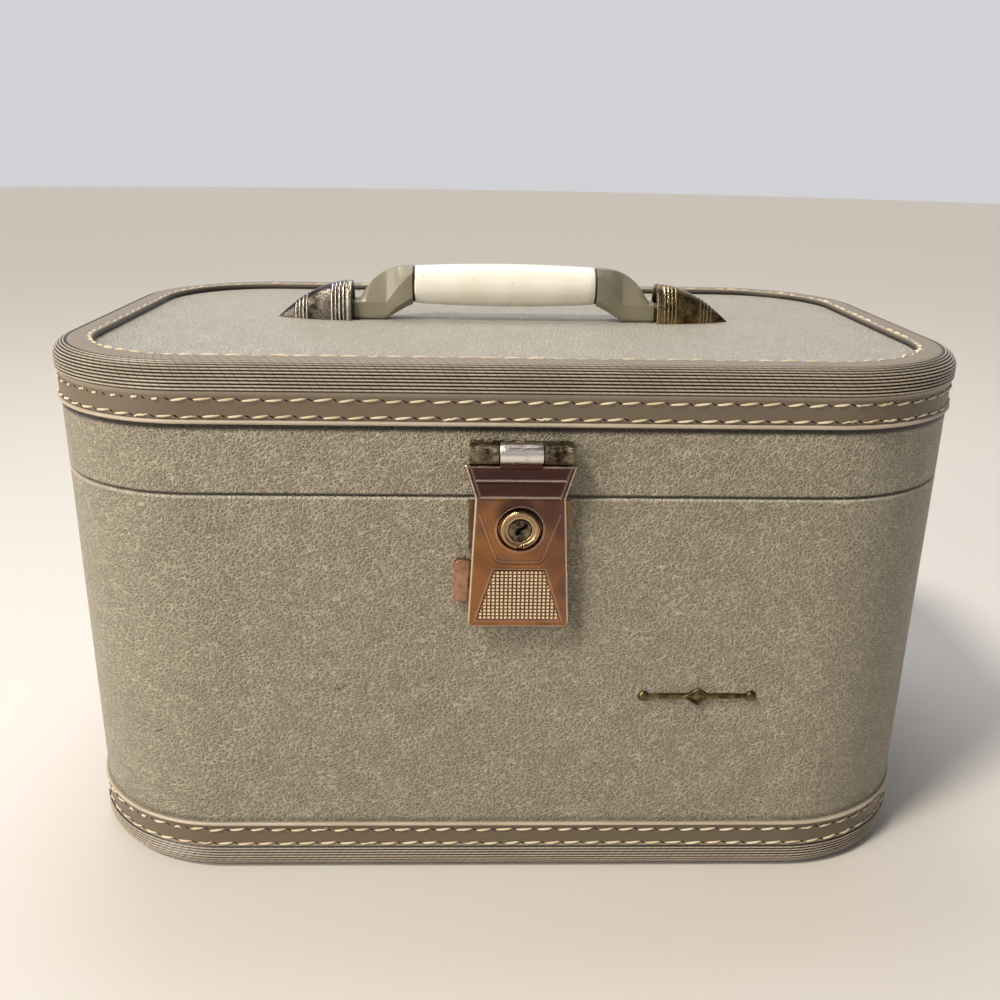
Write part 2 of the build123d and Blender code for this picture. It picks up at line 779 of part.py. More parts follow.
# Each arm: distance from the middle, underside, top and half width of its faceted section. It
# starts as a ring of the grip's size, bends down over three steps and ends in a level tongue.
tongue_bottom = upper_cover_face + handle_rest_gap
arm_face = grip_half_length + collar_thickness
arm_bends = [
    (arm_face + (step + 1) * arm_elbow, tongue_bottom + low, handle_axis_height + high, half)
    for step, (low, high, half) in enumerate(zip(arm_underside_rises, arm_top_rises, arm_half_widths))
]
tongue_start = arm_face + (len(arm_bends) + 1) * arm_elbow
arm_stations = [
    (arm_face, handle_axis_height - grip_end_radius, handle_axis_height + grip_end_radius,
     arm_face_half_width),
    *arm_bends,
    (tongue_start, tongue_bottom, tongue_bottom + tongue_height, tongue_half_width),
]
tongue_end = cap_mouth + cap_pocket_depth - tongue_end_play

for side_name, side in (("left", -1), ("right", 1)):
    with BuildPart() as handle_arm:
        for distance, low, high, half in arm_stations:
            ridge = low + arm_ridge * (high - low)
            with BuildSketch(Plane.YZ.offset(side * distance)):
                with BuildLine():
                    Polyline(
                        (handle_setback - half, ridge),
                        (handle_setback - half * arm_bottom_share, low),
                        (handle_setback + half * arm_bottom_share, low),
                        (handle_setback + half, ridge),
                        (handle_setback + half * arm_top_share, high),
                        (handle_setback - half * arm_top_share, high),
                        close=True,
                    )
                make_face()
        loft(ruled=True)
        extrude(handle_arm.faces().sort_by(Axis.X)[0 if side < 0 else -1],
                amount=tongue_end - tongue_start)
        with BuildSketch(Plane.YZ.offset(side * arm_face)):
            with Locations((handle_setback, handle_axis_height)):
                Rectangle(core_width + 2 * core_clearance, core_thickness + 2 * core_clearance)
        extrude(amount=side * (core_embed + core_clearance), mode=Mode.SUBTRACT)
    handle_arm.part.label = f"handle_arm_{side_name}"
    export_step(handle_arm.part, f"parts/handle_arm_{side_name}.step")

grip_axis = Axis((0, handle_setback, handle_axis_height), (1, 0, 0))
grip_swell = grip_middle_radius - grip_end_radius
grip_side = [
    (station * grip_half_length, handle_axis_height + grip_middle_radius - grip_swell * station**2)
    for station in grip_stations
]
with BuildPart() as handle_grip:
    with BuildSketch(Plane.XZ.offset(-handle_setback)):
        with BuildLine():
            Polyline(
                (grip_half_length, handle_axis_height),
                (-grip_half_length, handle_axis_height),
                *grip_side,
                close=True,
            )
        make_face()
    revolve(axis=grip_axis)
    with BuildSketch(Plane.YZ.offset(-grip_half_length)):
        with Locations((handle_setback, handle_axis_height)):
            Rectangle(core_width + 2 * core_clearance, core_thickness + 2 * core_clearance)
    extrude(amount=2 * grip_half_length, mode=Mode.SUBTRACT)
handle_grip.part.label = "handle_grip"
export_step(handle_grip.part, "parts/handle_grip.step")

with BuildPart() as handle_collars:
    for start in (-arm_face, grip_half_length):
        with BuildSketch(Plane.YZ.offset(start)):
            with Locations((handle_setback, handle_axis_height)):
                Circle(collar_radius)
                Rectangle(core_width + 2 * core_clearance, core_thickness + 2 * core_clearance,
                          mode=Mode.SUBTRACT)
        extrude(amount=collar_thickness)
handle_collars.part.label = "handle_collars"
export_step(handle_collars.part, "parts/handle_collars.step")

core_end = arm_face + core_embed
with BuildPart() as handle_core:
    with BuildSketch(Plane.YZ.offset(-core_end)):
        with Locations((handle_setback, handle_axis_height)):
            Rectangle(core_width, core_thickness)
    extrude(amount=2 * core_end)
handle_core.part.label = "handle_core"
export_step(handle_core.part, "parts/handle_core.step")

# ---------------------------------------------------------------- lift-out tray

tray_inset = inner_inset + closure_thickness + tray_side_clearance
tray_bottom = ledge_top + tray_rest_gap
tray_half_width = case_width / 2 - tray_inset
tray_half_depth = case_depth / 2 - tray_inset
divider_y = -tray_half_depth + tray_wall + tray_front_row
back_row_half = tray_half_width / 3
with BuildPart() as tray:
    with BuildSketch(Plane.XY.offset(tray_bottom)):
        plan_outline(tray_inset)
    extrude(amount=tray_height)
    with BuildSketch(Plane.XY.offset(tray_bottom + tray_wall)):
        plan_outline(tray_inset + tray_wall)
    extrude(amount=tray_height, mode=Mode.SUBTRACT)
    with BuildSketch(Plane.XY.offset(tray_bottom + tray_wall)):
        with Locations((0, divider_y)):
            Rectangle(2 * tray_half_width - tray_wall, tray_wall)
        with Locations(*[(s * back_row_half, (divider_y + tray_half_depth) / 2) for s in (-1, 1)]):
            Rectangle(tray_wall, tray_half_depth - divider_y - tray_wall)
    extrude(amount=tray_divider_height)
    with BuildSketch(Plane.YZ.offset(-case_width / 2)):
        with Locations((0, tray_bottom + tray_height)):
            SlotOverall(tray_finger_width, 2 * tray_finger_depth)
    extrude(amount=tray_inset + tray_wall + cut_past, mode=Mode.SUBTRACT)
    with BuildSketch(Plane.YZ.offset(case_width / 2)):
        with Locations((0, tray_bottom + tray_height)):
            SlotOverall(tray_finger_width, 2 * tray_finger_depth)
    extrude(amount=-(tray_inset + tray_wall + cut_past), mode=Mode.SUBTRACT)
tray.part.label = "tray"
export_step(tray.part, "parts/tray.step")

# ---------------------------------------------------------------- ornament on the front

badge_arm = badge_length / 2 - badge_ball_radius
with BuildPart() as badge_bar:
    with BuildSketch(front_offset(0)):
        with Locations((badge_x, badge_height)):
            Rectangle(2 * badge_arm, badge_bar_width)
            Polygon(
                (-badge_lozenge_length / 2, 0),
                (0, -badge_lozenge_height / 2),
                (badge_lozenge_length / 2, 0),
                (0, badge_lozenge_height / 2),
            )
        with Locations((badge_x - badge_arm, badge_height), (badge_x + badge_arm, badge_height)):
            Circle(badge_ball_radius)
    extrude(amount=badge_thickness)
    chamfer(badge_bar.faces().sort_by(Axis.Y)[0].outer_wire().edges(), flap_edge)
badge_bar.part.label = "badge_bar"
export_step(badge_bar.part, "parts/badge_bar.step")
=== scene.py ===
import logging
import random
from collections.abc import Iterator, Sequence
from contextlib import contextmanager
from dataclasses import dataclass
from enum import Enum
from math import atan2, ceil, copysign, cos, exp, hypot, pi, radians, sin, sqrt
from typing import NamedTuple

import bmesh
import bpy
from mathutils import Matrix, Vector, noise


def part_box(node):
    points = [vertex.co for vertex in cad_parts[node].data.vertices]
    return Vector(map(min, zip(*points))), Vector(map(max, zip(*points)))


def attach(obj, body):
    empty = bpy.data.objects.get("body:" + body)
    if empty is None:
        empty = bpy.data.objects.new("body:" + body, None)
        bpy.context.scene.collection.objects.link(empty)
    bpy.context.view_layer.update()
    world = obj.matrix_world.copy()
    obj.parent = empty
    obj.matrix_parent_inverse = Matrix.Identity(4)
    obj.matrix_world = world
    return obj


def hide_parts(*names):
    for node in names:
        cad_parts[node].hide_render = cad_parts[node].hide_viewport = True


# Dresses a hard train case for its studio picture: coverings, stitched bindings, latch, handle,
# back hinges and inside, with their finishes, the light, the floor and the camera.
# Metres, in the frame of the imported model: +X right, +Y back, +Z up, the latch on the front (-Y).

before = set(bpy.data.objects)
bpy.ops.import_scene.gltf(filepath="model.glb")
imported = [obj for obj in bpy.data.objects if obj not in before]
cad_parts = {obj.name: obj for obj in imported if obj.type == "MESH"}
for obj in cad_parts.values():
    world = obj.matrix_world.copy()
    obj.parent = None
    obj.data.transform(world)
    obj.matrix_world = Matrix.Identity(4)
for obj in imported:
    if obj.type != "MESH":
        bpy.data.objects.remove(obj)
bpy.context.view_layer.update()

log = logging.getLogger("train_case")

MM = 0.001
FULL_TURN = 2 * pi
QUARTER_TURN = pi / 2
RIGHT = Vector((1, 0, 0))
FORWARD = Vector((0, -1, 0))
BACKWARD = Vector((0, 1, 0))
SMOOTH = 38
RIPPLES_PER_METRE = 22
PADDING_PER_METRE = 26

Point = tuple[float, float]
Triple = tuple[float, float, float]
NodeTree = bpy.types.NodeTree
Node = bpy.types.Node
Socket = bpy.types.NodeSocket
Material = bpy.types.Material
Object = bpy.types.Object


# ------------------------------------------------------------------------------- shader helpers


def linear(hex_colour: str) -> tuple[float, float, float, float]:
    """Turns an sRGB colour to the linear one that shaders take.

    Args:
        hex_colour: Six hex digits, red first.

    Returns:
        Linear red, green and blue, and an alpha of one.
    """
    channels = []
    for start in (0, 2, 4):
        value = int(hex_colour[start : start + 2], 16) / 255
        channels.append(value / 12.92 if value <= 0.04045 else ((value + 0.055) / 1.055) ** 2.4)
    return (*channels, 1.0)


def add_node(
    tree: NodeTree,
    kind: str,
    settings: dict[str | int, object] | None = None,
    links: dict[str | int, Socket] | None = None,
) -> Node:
    """Adds one node, sets it and links what feeds it.

    Args:
        tree: The node tree that gets the node.
        kind: The node's type name.
        settings: Properties of the node, and values of its inputs by name or number.
        links: Outputs of other nodes, by the name or number of the input that they feed.

    Returns:
        The new node.
    """
    node = tree.nodes.new(kind)
    for key, value in (settings or {}).items():
        if isinstance(key, int) or key in node.inputs:
            node.inputs[key].default_value = value
        else:
            setattr(node, key, value)
    for key, source in (links or {}).items():
        tree.links.new(source, node.inputs[key])
    return node


class Mixing(Enum):
    """How a second colour goes onto a first one."""

    COVER = "MIX"
    DARKEN = "MULTIPLY"


class Sum(Enum):
    """What is worked out from two or three numbers."""

    PRODUCT = "MULTIPLY"
    PRODUCT_PLUS = "MULTIPLY_ADD"
    HIGHER = "MAXIMUM"
    TOTAL = "ADD"
    LESS = "SUBTRACT"
    SIZE = "ABSOLUTE"
    FRACTION = "FRACT"
    LENGTH = "LENGTH"


class NodeDesk:
    """Where the nodes of one tree are laid out and joined."""

    def __init__(self, tree: NodeTree) -> None:
        """Takes the tree to work on."""
        self.tree = tree

    def place(self, name: str = "Object") -> Socket:
        """Where a point lies, on the case or in the layout that is named."""
        return add_node(self.tree, "ShaderNodeTexCoord").outputs[name]

    def mark(self, name: str) -> Socket:
        """The number that the mesh carries in its attribute of that name."""
        return add_node(self.tree, "ShaderNodeAttribute", {"attribute_name": name}).outputs["Fac"]

    def clouds(self, place: Socket, size: float, detail: float, **more: float) -> Socket:
        """Soft cloudy noise."""
        settings = {"Scale": 1 / size, "Detail": detail, **more}
        return add_node(self.tree, "ShaderNodeTexNoise", settings, {"Vector": place}).outputs["Fac"]

    def cells(self, place: Socket, size: float, **more: object) -> Socket:
        """Distance from the middles of scattered cells, or from their borders."""
        settings = {**more, "Scale": 1 / size}
        return add_node(self.tree, "ShaderNodeTexVoronoi", settings, {"Vector": place}).outputs["Distance"]

    def waves(self, place: Socket, direction: str, scale: float) -> Socket:
        """Even bands across one direction."""
        settings = {"bands_direction": direction, "Scale": scale}
        return add_node(self.tree, "ShaderNodeTexWave", settings, {"Vector": place}).outputs["Fac"]

    def stretched(self, place: Socket, turn: Triple, scale: Triple) -> Socket:
        """A place that is turned and drawn out, so that what lies on it gets longer."""
        settings = {"Rotation": turn, "Scale": scale}
        return add_node(self.tree, "ShaderNodeMapping", settings, {"Vector": place}).outputs[0]

    def worked(self, kind: str, sum_kind: Sum, values: Sequence[object]) -> Socket:
        """Adds a node that works something out.

        Args:
            kind: The node's type name.
            sum_kind: What it works out.
            values: Numbers, vectors or other nodes' outputs.

        Returns:
            The output that holds the result.
        """
        settings: dict[str | int, object] = {"operation": sum_kind.value}
        links = {}
        for socket, value in enumerate(values):
            (links if isinstance(value, Socket) else settings)[socket] = value
        outputs = add_node(self.tree, kind, settings, links).outputs
        return outputs["Value"] if sum_kind is Sum.LENGTH else outputs[0]

    def number(self, sum_kind: Sum, *values: Socket | float) -> Socket:
        """Works out a number."""
        return self.worked("ShaderNodeMath", sum_kind, values)

    def vector(self, sum_kind: Sum, *values: Socket | Triple) -> Socket:
        """Works out a vector, or a vector's length."""
        return self.worked("ShaderNodeVectorMath", sum_kind, values)

    def window(self, source: Socket, start: float, end: float, low: float = 0.0, high: float = 1.0) -> Socket:
        """Maps the stretch of a value from start to end onto low to high, and clamps the rest."""
        limits = {"From Min": start, "From Max": end, "To Min": low, "To Max": high}
        return add_node(self.tree, "ShaderNodeMapRange", limits, {"Value": source}).outputs[0]

    def layered(
        self, share: Socket, under: Socket | str, over: Socket | str, mixing: Mixing = Mixing.COVER
    ) -> Socket:
        """Lays one colour over another.

        Args:
            share: How much of the upper colour shows.
            under: The lower colour, as hex digits or another node's output.
            over: The upper colour, as hex digits or another node's output.
            mixing: How the colours go together.

        Returns:
            The output that holds the result.
        """
        settings: dict[str | int, object] = {"data_type": "RGBA", "blend_type": mixing.value}
        links = {0: share}
        for socket, colour in ((6, under), (7, over)):
            if isinstance(colour, str):
                settings[socket] = linear(colour)
            else:
                links[socket] = colour
        return add_node(self.tree, "ShaderNodeMix", settings, links).outputs[2]


class MaterialDesk(NodeDesk):
    """Where one material is made: a shader, and the nodes that feed it."""

    def __init__(self, name: str, shader_settings: dict[str, object]) -> None:
        """Starts the material.

        Args:
            name: What the material is called.
            shader_settings: Values of the shader's own inputs.
        """
        self.material = bpy.data.materials.new(name)
        self.material.use_nodes = True
        super().__init__(self.material.node_tree)
        self.tree.nodes.clear()
        self.shader = add_node(self.tree, "ShaderNodeBsdfPrincipled", shader_settings)
        add_node(self.tree, "ShaderNodeOutputMaterial", links={"Surface": self.shader.outputs[0]})

    def finish(
        self,
        colour: Socket,
        roughness: Socket | None = None,
        height: Socket | None = None,
        strength: float = 0.5,
        depth: float = 0.1 * MM,
    ) -> Material:
        """Joins what was made to the shader.

        Args:
            colour: The base colour.
            roughness: The roughness, where it isn't even.
            height: The fine relief, where there is one.
            strength: How strongly the relief shows.
            depth: How deep the relief is.

        Returns:
            The finished material.
        """
        self.tree.links.new(colour, self.shader.inputs["Base Color"])
        if roughness:
            self.tree.links.new(roughness, self.shader.inputs["Roughness"])
        if height:
            bump = add_node(
                self.tree, "ShaderNodeBump", {"Strength": strength, "Distance": depth}, {"Height": height}
            )
            self.tree.links.new(bump.outputs[0], self.shader.inputs["Normal"])
        return self.material


# ------------------------------------------------------------------------------------- finishes


@dataclass(frozen=True)
class GrainedVinyl:
    """PVC-coated cloth, calendered with a leather grain and wiped with a darker ink.

    It gives the eye small pebbles parted by fine pearly creases, with soft patches of tone where
    the ink is thinner, a satin gloss and a few rubbed stains. It carries painted shade along the
    bindings' lips, in the seam and round the panel's border, and a painted highlight on the body's
    round edge below the seam: the mesh says where in its attributes.
    """

    name: str
    tone: str
    patch: str
    pit: str
    crease: str
    stain: str
    # Painted shade: the dark tone along the binding lips, in the seam and round the panel's border.
    painted_shade_tone: str = "1c0f05"
    # Painted highlight: the pale tone on the body's round edge below the seam.
    cloth: str = "d8d0be"
    scuff: str = "4a4038"
    cell: float = 1.4 * MM
    crease_share: float = 0.85
    grain_depth: float = 0.5 * MM
    patch_size: float = 110 * MM
    roughness: float = 0.42
    scuffs: tuple[Triple, ...] = ()

    def build(self) -> Material:
        """Builds the material."""
        desk = MaterialDesk(self.name, {"IOR": 1.53, "Sheen Weight": 0.05, "Sheen Roughness": 0.5})
        place = desk.place()
        wander = add_node(
            desk.tree, "ShaderNodeTexNoise", {"Scale": 0.55 / self.cell, "Detail": 3.0}, {"Vector": place}
        ).outputs
        # The roll was drawn out while hot, so the pebbles lean and are longer than they are wide.
        drawn = desk.stretched(place, (0.0, 0.35, 0.2), (0.8, 0.8, 1.15))
        bent = desk.vector(Sum.PRODUCT_PLUS, wander["Color"], (self.cell * 1.15,) * 3, drawn)
        pebbles = desk.cells(bent, self.cell, feature="DISTANCE_TO_EDGE")
        specks = desk.cells(bent, self.cell / 2.1, feature="DISTANCE_TO_EDGE")
        broken = desk.clouds(place, self.cell / 0.12, 4.0)
        creases = desk.window(pebbles, 0.02, 0.15, 1.0, 0.0)
        fine_creases = desk.window(specks, 0.03, 0.2, 0.55, 0.0)
        shown = desk.window(broken, 0.34, 0.62, 0.72 * self.crease_share, self.crease_share)
        seen = desk.number(Sum.PRODUCT, desk.number(Sum.HIGHER, creases, fine_creases), shown)
        patches = desk.clouds(place, self.patch_size, 6.0, Roughness=0.6)
        rubbed = desk.clouds(place, self.patch_size / 0.55, 7.0, Roughness=0.68, Distortion=0.6)
        ground = desk.layered(desk.window(patches, 0.36, 0.64), self.tone, self.patch)
        stained = desk.layered(desk.window(rubbed, 0.54, 0.8, 0.0, 0.4), ground, self.stain)
        pitted = desk.layered(desk.window(pebbles, 0.12, 0.5, 0.0, 0.6), stained, self.pit)
        creased = desk.layered(seen, pitted, self.crease)
        # Painted shade, where the mesh's attribute says.
        with_painted_shade = desk.layered(desk.mark("painted_shade"), self.scuffed(desk, place, creased), self.painted_shade_tone)
        fine, coarse = desk.window(specks, 0.0, 0.25), desk.window(pebbles, 0.0, 0.22)
        grain = desk.number(Sum.PRODUCT_PLUS, fine, 0.4, coarse)
        return desk.finish(
            # The edge attribute lays the pale painted highlight below the seam.
            colour=desk.layered(desk.mark("edge"), with_painted_shade, self.cloth),
            roughness=desk.window(patches, 0.3, 0.7, self.roughness - 0.05, self.roughness + 0.08),
            height=desk.number(Sum.PRODUCT_PLUS, wander["Fac"], 1.5, grain),
            strength=1.0,
            depth=self.grain_depth,
        )

    def scuffed(self, desk: NodeDesk, place: Socket, under: Socket) -> Socket:
        """Adds the few dark rubs that other luggage has left.

        Args:
            desk: Where the material is made.
            place: Where a point lies on the case.
            under: Colour of the unmarked vinyl.

        Returns:
            The output that holds the marked colour.
        """
        for across, height, length in self.scuffs:
            settings = {
                "vector_type": "TEXTURE",
                "Location": (across, 0.0, height),
                "Rotation": (0.0, -0.4, 0.0),
                "Scale": (length, 1.0, length * 0.22),
            }
            away = add_node(desk.tree, "ShaderNodeMapping", settings, {"Vector": place}).outputs[0]
            reach = desk.vector(Sum.LENGTH, desk.vector(Sum.PRODUCT, away, (1.0, 0.0, 1.0)))
            frayed = desk.number(Sum.PRODUCT_PLUS, desk.clouds(place, 1.3 * MM, 3.0), 0.9, reach)
            under = desk.layered(desk.window(frayed, 0.75, 1.15, 0.7, 0.0), under, self.scuff)
        return under


@dataclass(frozen=True)
class ExtrudedVinyl:
    """Plasticised PVC strip, extruded through a ribbed die and pressed with fine cross marks.

    It gives the eye warm taupe crests that catch the light, painted shade down in the grooves,
    beside the bead and along the flat leg's inner edge, a darker plain lip, a flat leg darkened as
    painted shade, a bead left light as a painted highlight, and a faint rank of slanting ticks
    along the strip. The mesh says where each is in its attributes groove, lip and ticked.
    """

    name: str
    crest: str
    # Tone of the painted shade in the grooves, beside the bead and on the flat leg's inner edge; the cross
    # ticks take it too.
    groove: str
    worn: str
    plain: str
    tick_pitch: float = 3.2 * MM
    tick_depth: float = 0.1 * MM
    roughness: float = 0.42

    def build(self) -> Material:
        """Builds the material."""
        desk = MaterialDesk(self.name, {"IOR": 1.53})
        place, strip = desk.place(), desk.place("UV")
        patches = desk.clouds(place, 18 * MM, 5.0)
        laid = add_node(desk.tree, "ShaderNodeSeparateXYZ", links={0: strip}).outputs
        slant = desk.number(Sum.PRODUCT_PLUS, laid[1], 0.5, laid[0])
        along = desk.number(Sum.PRODUCT_PLUS, desk.clouds(strip, 30 * MM, 1.0), 4 * MM, slant)
        saw = desk.number(Sum.FRACTION, desk.number(Sum.PRODUCT, along, 1 / self.tick_pitch))
        from_tick = desk.number(Sum.SIZE, desk.number(Sum.LESS, saw, 0.5))
        tick = desk.window(from_tick, 0.03, 0.1, 1.0, 0.0)
        shown = desk.number(Sum.PRODUCT, tick, desk.mark("ticked"))
        crest = desk.layered(desk.window(patches, 0.35, 0.7, 0.0, 0.7), self.crest, self.worn)
        ground = desk.layered(desk.mark("lip"), crest, self.plain)
        # Painted shade, where the groove attribute says.
        with_painted_shade = desk.layered(desk.window(desk.mark("groove"), 0.1, 0.7), ground, self.groove)
        grit = desk.clouds(place, 0.8 * MM, 3.0)
        return desk.finish(
            colour=desk.layered(desk.window(shown, 0.0, 1.0, 0.0, 0.42), with_painted_shade, self.groove),
            roughness=desk.window(patches, 0.3, 0.7, self.roughness - 0.06, self.roughness + 0.1),
            height=desk.number(Sum.PRODUCT_PLUS, grit, 0.25, desk.window(shown, 0.0, 1.0, 1.0, 0.0)),
            strength=0.6,
            depth=self.tick_depth,
        )


@dataclass(frozen=True)
class WaxedThread:
    """Twisted cotton thread, waxed: matte ivory strands with a fine lay and a little soiling."""

    name: str
    clean: str
    soiled: str
    shade: str = "b9a985"
    strand: float = 0.35 * MM

    def build(self) -> Material:
        """Builds the material."""
        desk = MaterialDesk(self.name, {"IOR": 1.5, "Roughness": 0.75, "Sheen Weight": 0.2})
        place = desk.place()
        lay = desk.waves(place, "DIAGONAL", 0.3 / self.strand)
        soiling = desk.window(desk.clouds(place, 14 * MM, 3.0), 0.4, 0.75)
        ground = desk.layered(soiling, self.clean, self.soiled)
        lit = desk.layered(desk.window(lay, 0.5, 1.0, 0.3, 0.0), ground, self.shade, Mixing.DARKEN)
        return desk.finish(lit, height=lay)


@dataclass(frozen=True)
class PlatedMetal:
    """Pressed or cast metal under thin plating that has aged.

    It gives the eye a mirror-like body colour with duller tarnish in patches, small dark pits and
    hairline scratches. It is lighter on the crests that the mesh names in its attribute crest:
    rubbed wear, and painted highlight as well.
    """

    name: str
    bright: str
    tarnish: str
    tarnish_from: float = 0.45
    roughness: float = 0.2
    tarnish_roughness: float = 0.42
    patch_size: float = 4 * MM
    pit_size: float = 0.9 * MM
    pit_share: float = 0.5
    relief: float = 0.06 * MM
    # Crest tone: rubbed wear, and also a painted highlight.
    rubbed: str = "e4dccb"
    pit: str = "1d1915"

    def build(self) -> Material:
        """Builds the material."""
        desk = MaterialDesk(self.name, {"Metallic": 1.0})
        place = desk.place()
        patches = desk.clouds(place, self.patch_size, 6.0, Roughness=0.65)
        pits = desk.cells(place, self.pit_size)
        brushed = desk.stretched(place, (0.0, 0.5, 0.4), (1.0, 1.0, 22.0))
        hairs = desk.clouds(brushed, 5 * MM, 4.0, Roughness=0.8)
        aged = desk.window(patches, self.tarnish_from, self.tarnish_from + 0.2)
        plated = desk.layered(aged, self.bright, self.tarnish)
        # Crests take the lighter tone: wear and painted highlight.
        ground = desk.layered(desk.mark("crest"), plated, self.rubbed)
        sunk, ridged = desk.window(pits, 0.05, 0.2), desk.window(hairs, 0.4, 0.7)
        return desk.finish(
            colour=desk.layered(desk.window(pits, 0.1, 0.2, self.pit_share, 0.0), ground, self.pit),
            roughness=desk.window(aged, 0.0, 1.0, self.roughness, self.tarnish_roughness),
            height=desk.number(Sum.PRODUCT_PLUS, sunk, 0.5, ridged),
            depth=self.relief,
        )


@dataclass(frozen=True)
class CopperedFlap:
    """Pressed steel, plated and flashed with a copper-gold tint that thumbs have worn.

    It gives the eye a plum tone at the top that warms to orange copper lower down, painted
    reflection over the copper tint, silver where the tint has rubbed off the edges and the pressed
    lines, and hairline scratches. The mesh says where it is rubbed in its attribute worn.
    """

    name: str
    upper: str
    middle: str
    lower: str
    worn: str
    panel_height: float
    lock_place: Point
    arc_reach: Point = (8.5 * MM, 6.5 * MM)
    arc_rise: float = 6 * MM

    def build(self) -> Material:
        """Builds the material."""
        desk = MaterialDesk(self.name, {"Metallic": 1.0})
        place = desk.place()
        height = add_node(desk.tree, "ShaderNodeSeparateXYZ", links={0: place}).outputs[2]
        clouds = desk.clouds(place, 14 * MM, 1.5, Distortion=0.5)
        shade = desk.clouds(place, 24 * MM, 1.0, Distortion=0.6)
        # Painted reflection: cloudy bands of orange copper and plum stand in for what the flap reflects.
        body = desk.layered(desk.window(clouds, 0.38, 0.6), self.lower, self.middle)
        body = desk.layered(desk.window(shade, 0.46, 0.68, 0.0, 0.6), body, self.upper)
        # The plum on the upper panels and in an arc over the lock is painted reflection.
        above = desk.window(height, self.panel_height, self.panel_height + 0.4 * MM)
        (beside, level), (wide, high) = self.lock_place, self.arc_reach
        away = desk.vector(Sum.LESS, place, (beside, 0.0, level + self.arc_rise))
        reach = desk.vector(Sum.LENGTH, desk.vector(Sum.PRODUCT, away, (1 / wide, 0.0, 1 / high)))
        arc = desk.window(desk.number(Sum.PRODUCT_PLUS, clouds, 0.8, reach), 1.05, 1.5, 0.85, 0.0)
        plum_reflection = desk.layered(desk.number(Sum.HIGHER, above, arc), body, self.upper)
        flecks = desk.clouds(place, 1.1 * MM, 5.0, Roughness=0.7)
        bare = desk.number(Sum.PRODUCT, desk.mark("worn"), desk.window(flecks, 0.3, 0.5, 0.35, 1.0))
        brushed = desk.stretched(place, (0.0, 0.7, 0.0), (1.0, 1.0, 30.0))
        hairs = desk.clouds(brushed, 6 * MM, 5.0, Roughness=0.8)
        scratched = desk.layered(desk.window(hairs, 0.64, 0.72, 0.0, 0.45), plum_reflection, self.worn)
        return desk.finish(
            colour=desk.layered(bare, scratched, self.worn),
            roughness=desk.window(clouds, 0.35, 0.7, 0.17, 0.28),
            height=desk.number(Sum.PRODUCT_PLUS, desk.window(hairs, 0.45, 0.7), 0.03, shade),
            strength=1.0,
            depth=0.5 * MM,
        )


@dataclass(frozen=True)
class MouldedPlastic:
    """Moulded polystyrene or ABS, polished by the mould and by hands.

    It gives the eye an even body colour with faint clouding, a soft gloss and tiny dark specks.
    """

    name: str
    body: str
    cloud: str
    speck: str
    roughness: float = 0.25
    speck_size: float = 3 * MM
    speck_share: float = 0.5
    coat: float = 0.0

    def build(self) -> Material:
        """Builds the material."""
        desk = MaterialDesk(self.name, {"IOR": 1.54, "Coat Weight": self.coat, "Coat Roughness": 0.15})
        place = desk.place()
        clouds = desk.clouds(place, 20 * MM, 5.0)
        specks = desk.cells(place, self.speck_size, Randomness=1.0)
        ground = desk.layered(desk.window(clouds, 0.4, 0.68), self.body, self.cloud)
        return desk.finish(
            colour=desk.layered(desk.window(specks, 0.03, 0.08, self.speck_share, 0.0), ground, self.speck),
            roughness=desk.window(clouds, 0.3, 0.7, self.roughness - 0.05, self.roughness + 0.08),
            height=desk.clouds(place, 2.5 * MM, 3.0),
            strength=0.12,
            depth=0.08 * MM,
        )


@dataclass(frozen=True)
class WovenLining:
    """Plain-woven rayon lining: a fine grid of threads, soft and a little uneven in tone."""

    name: str
    thread: str
    shade: str
    thread_pitch: float = 0.9 * MM

    def build(self) -> Material:
        """Builds the material. Its threads are coarser than real ones, so that they show."""
        desk = MaterialDesk(
            self.name, {"IOR": 1.5, "Roughness": 0.8, "Sheen Weight": 0.3, "Sheen Roughness": 0.4}
        )
        place = desk.place()
        across, deep, up = (desk.waves(place, side, 0.314 / self.thread_pitch) for side in "XYZ")
        weave = desk.number(Sum.TOTAL, desk.number(Sum.PRODUCT, across, deep), up)
        cloth = desk.layered(desk.window(weave, 0.2, 1.4), self.shade, self.thread)
        return desk.finish(cloth, height=weave, depth=0.12 * MM)


@dataclass(frozen=True)
class SilveredGlass:
    """Float glass, silvered behind: a clean reflection with a faint grey-green cast."""

    name: str
    silver: str
    haze: str

    def build(self) -> Material:
        """Builds the material."""
        desk = MaterialDesk(self.name, {"Metallic": 1.0})
        haze = desk.clouds(desk.place(), 30 * MM, 4.0)
        return desk.finish(
            colour=desk.layered(desk.window(haze, 0.4, 0.8), self.silver, self.haze),
            roughness=desk.window(haze, 0.4, 0.8, 0.02, 0.07),
        )


@dataclass(frozen=True)
class PressedBoard:
    """Pressed fibre board, sawn: short brown fibres with paler flecks, quite matte."""

    name: str
    fibre: str
    fleck: str

    def build(self) -> Material:
        """Builds the material."""
        desk = MaterialDesk(self.name, {"IOR": 1.5, "Roughness": 0.85})
        fibres = desk.clouds(desk.place(), 1.4 * MM, 4.0, Distortion=1.5)
        colour = desk.layered(desk.window(fibres, 0.4, 0.7), self.fibre, self.fleck)
        return desk.finish(colour, height=fibres, strength=0.4)


@dataclass(frozen=True)
class MattPaint:
    """Matt emulsion, on the studio's floor: an even tone with almost no texture.

    The same even matte tone, dark, is painted shadow down in the needle holes and in the keyway.
    """

    name: str
    tone: str

    def build(self) -> Material:
        """Builds the material."""
        settings = {"Base Color": linear(self.tone), "Roughness": 0.7, "Specular IOR Level": 0.25}
        return MaterialDesk(self.name, settings).material


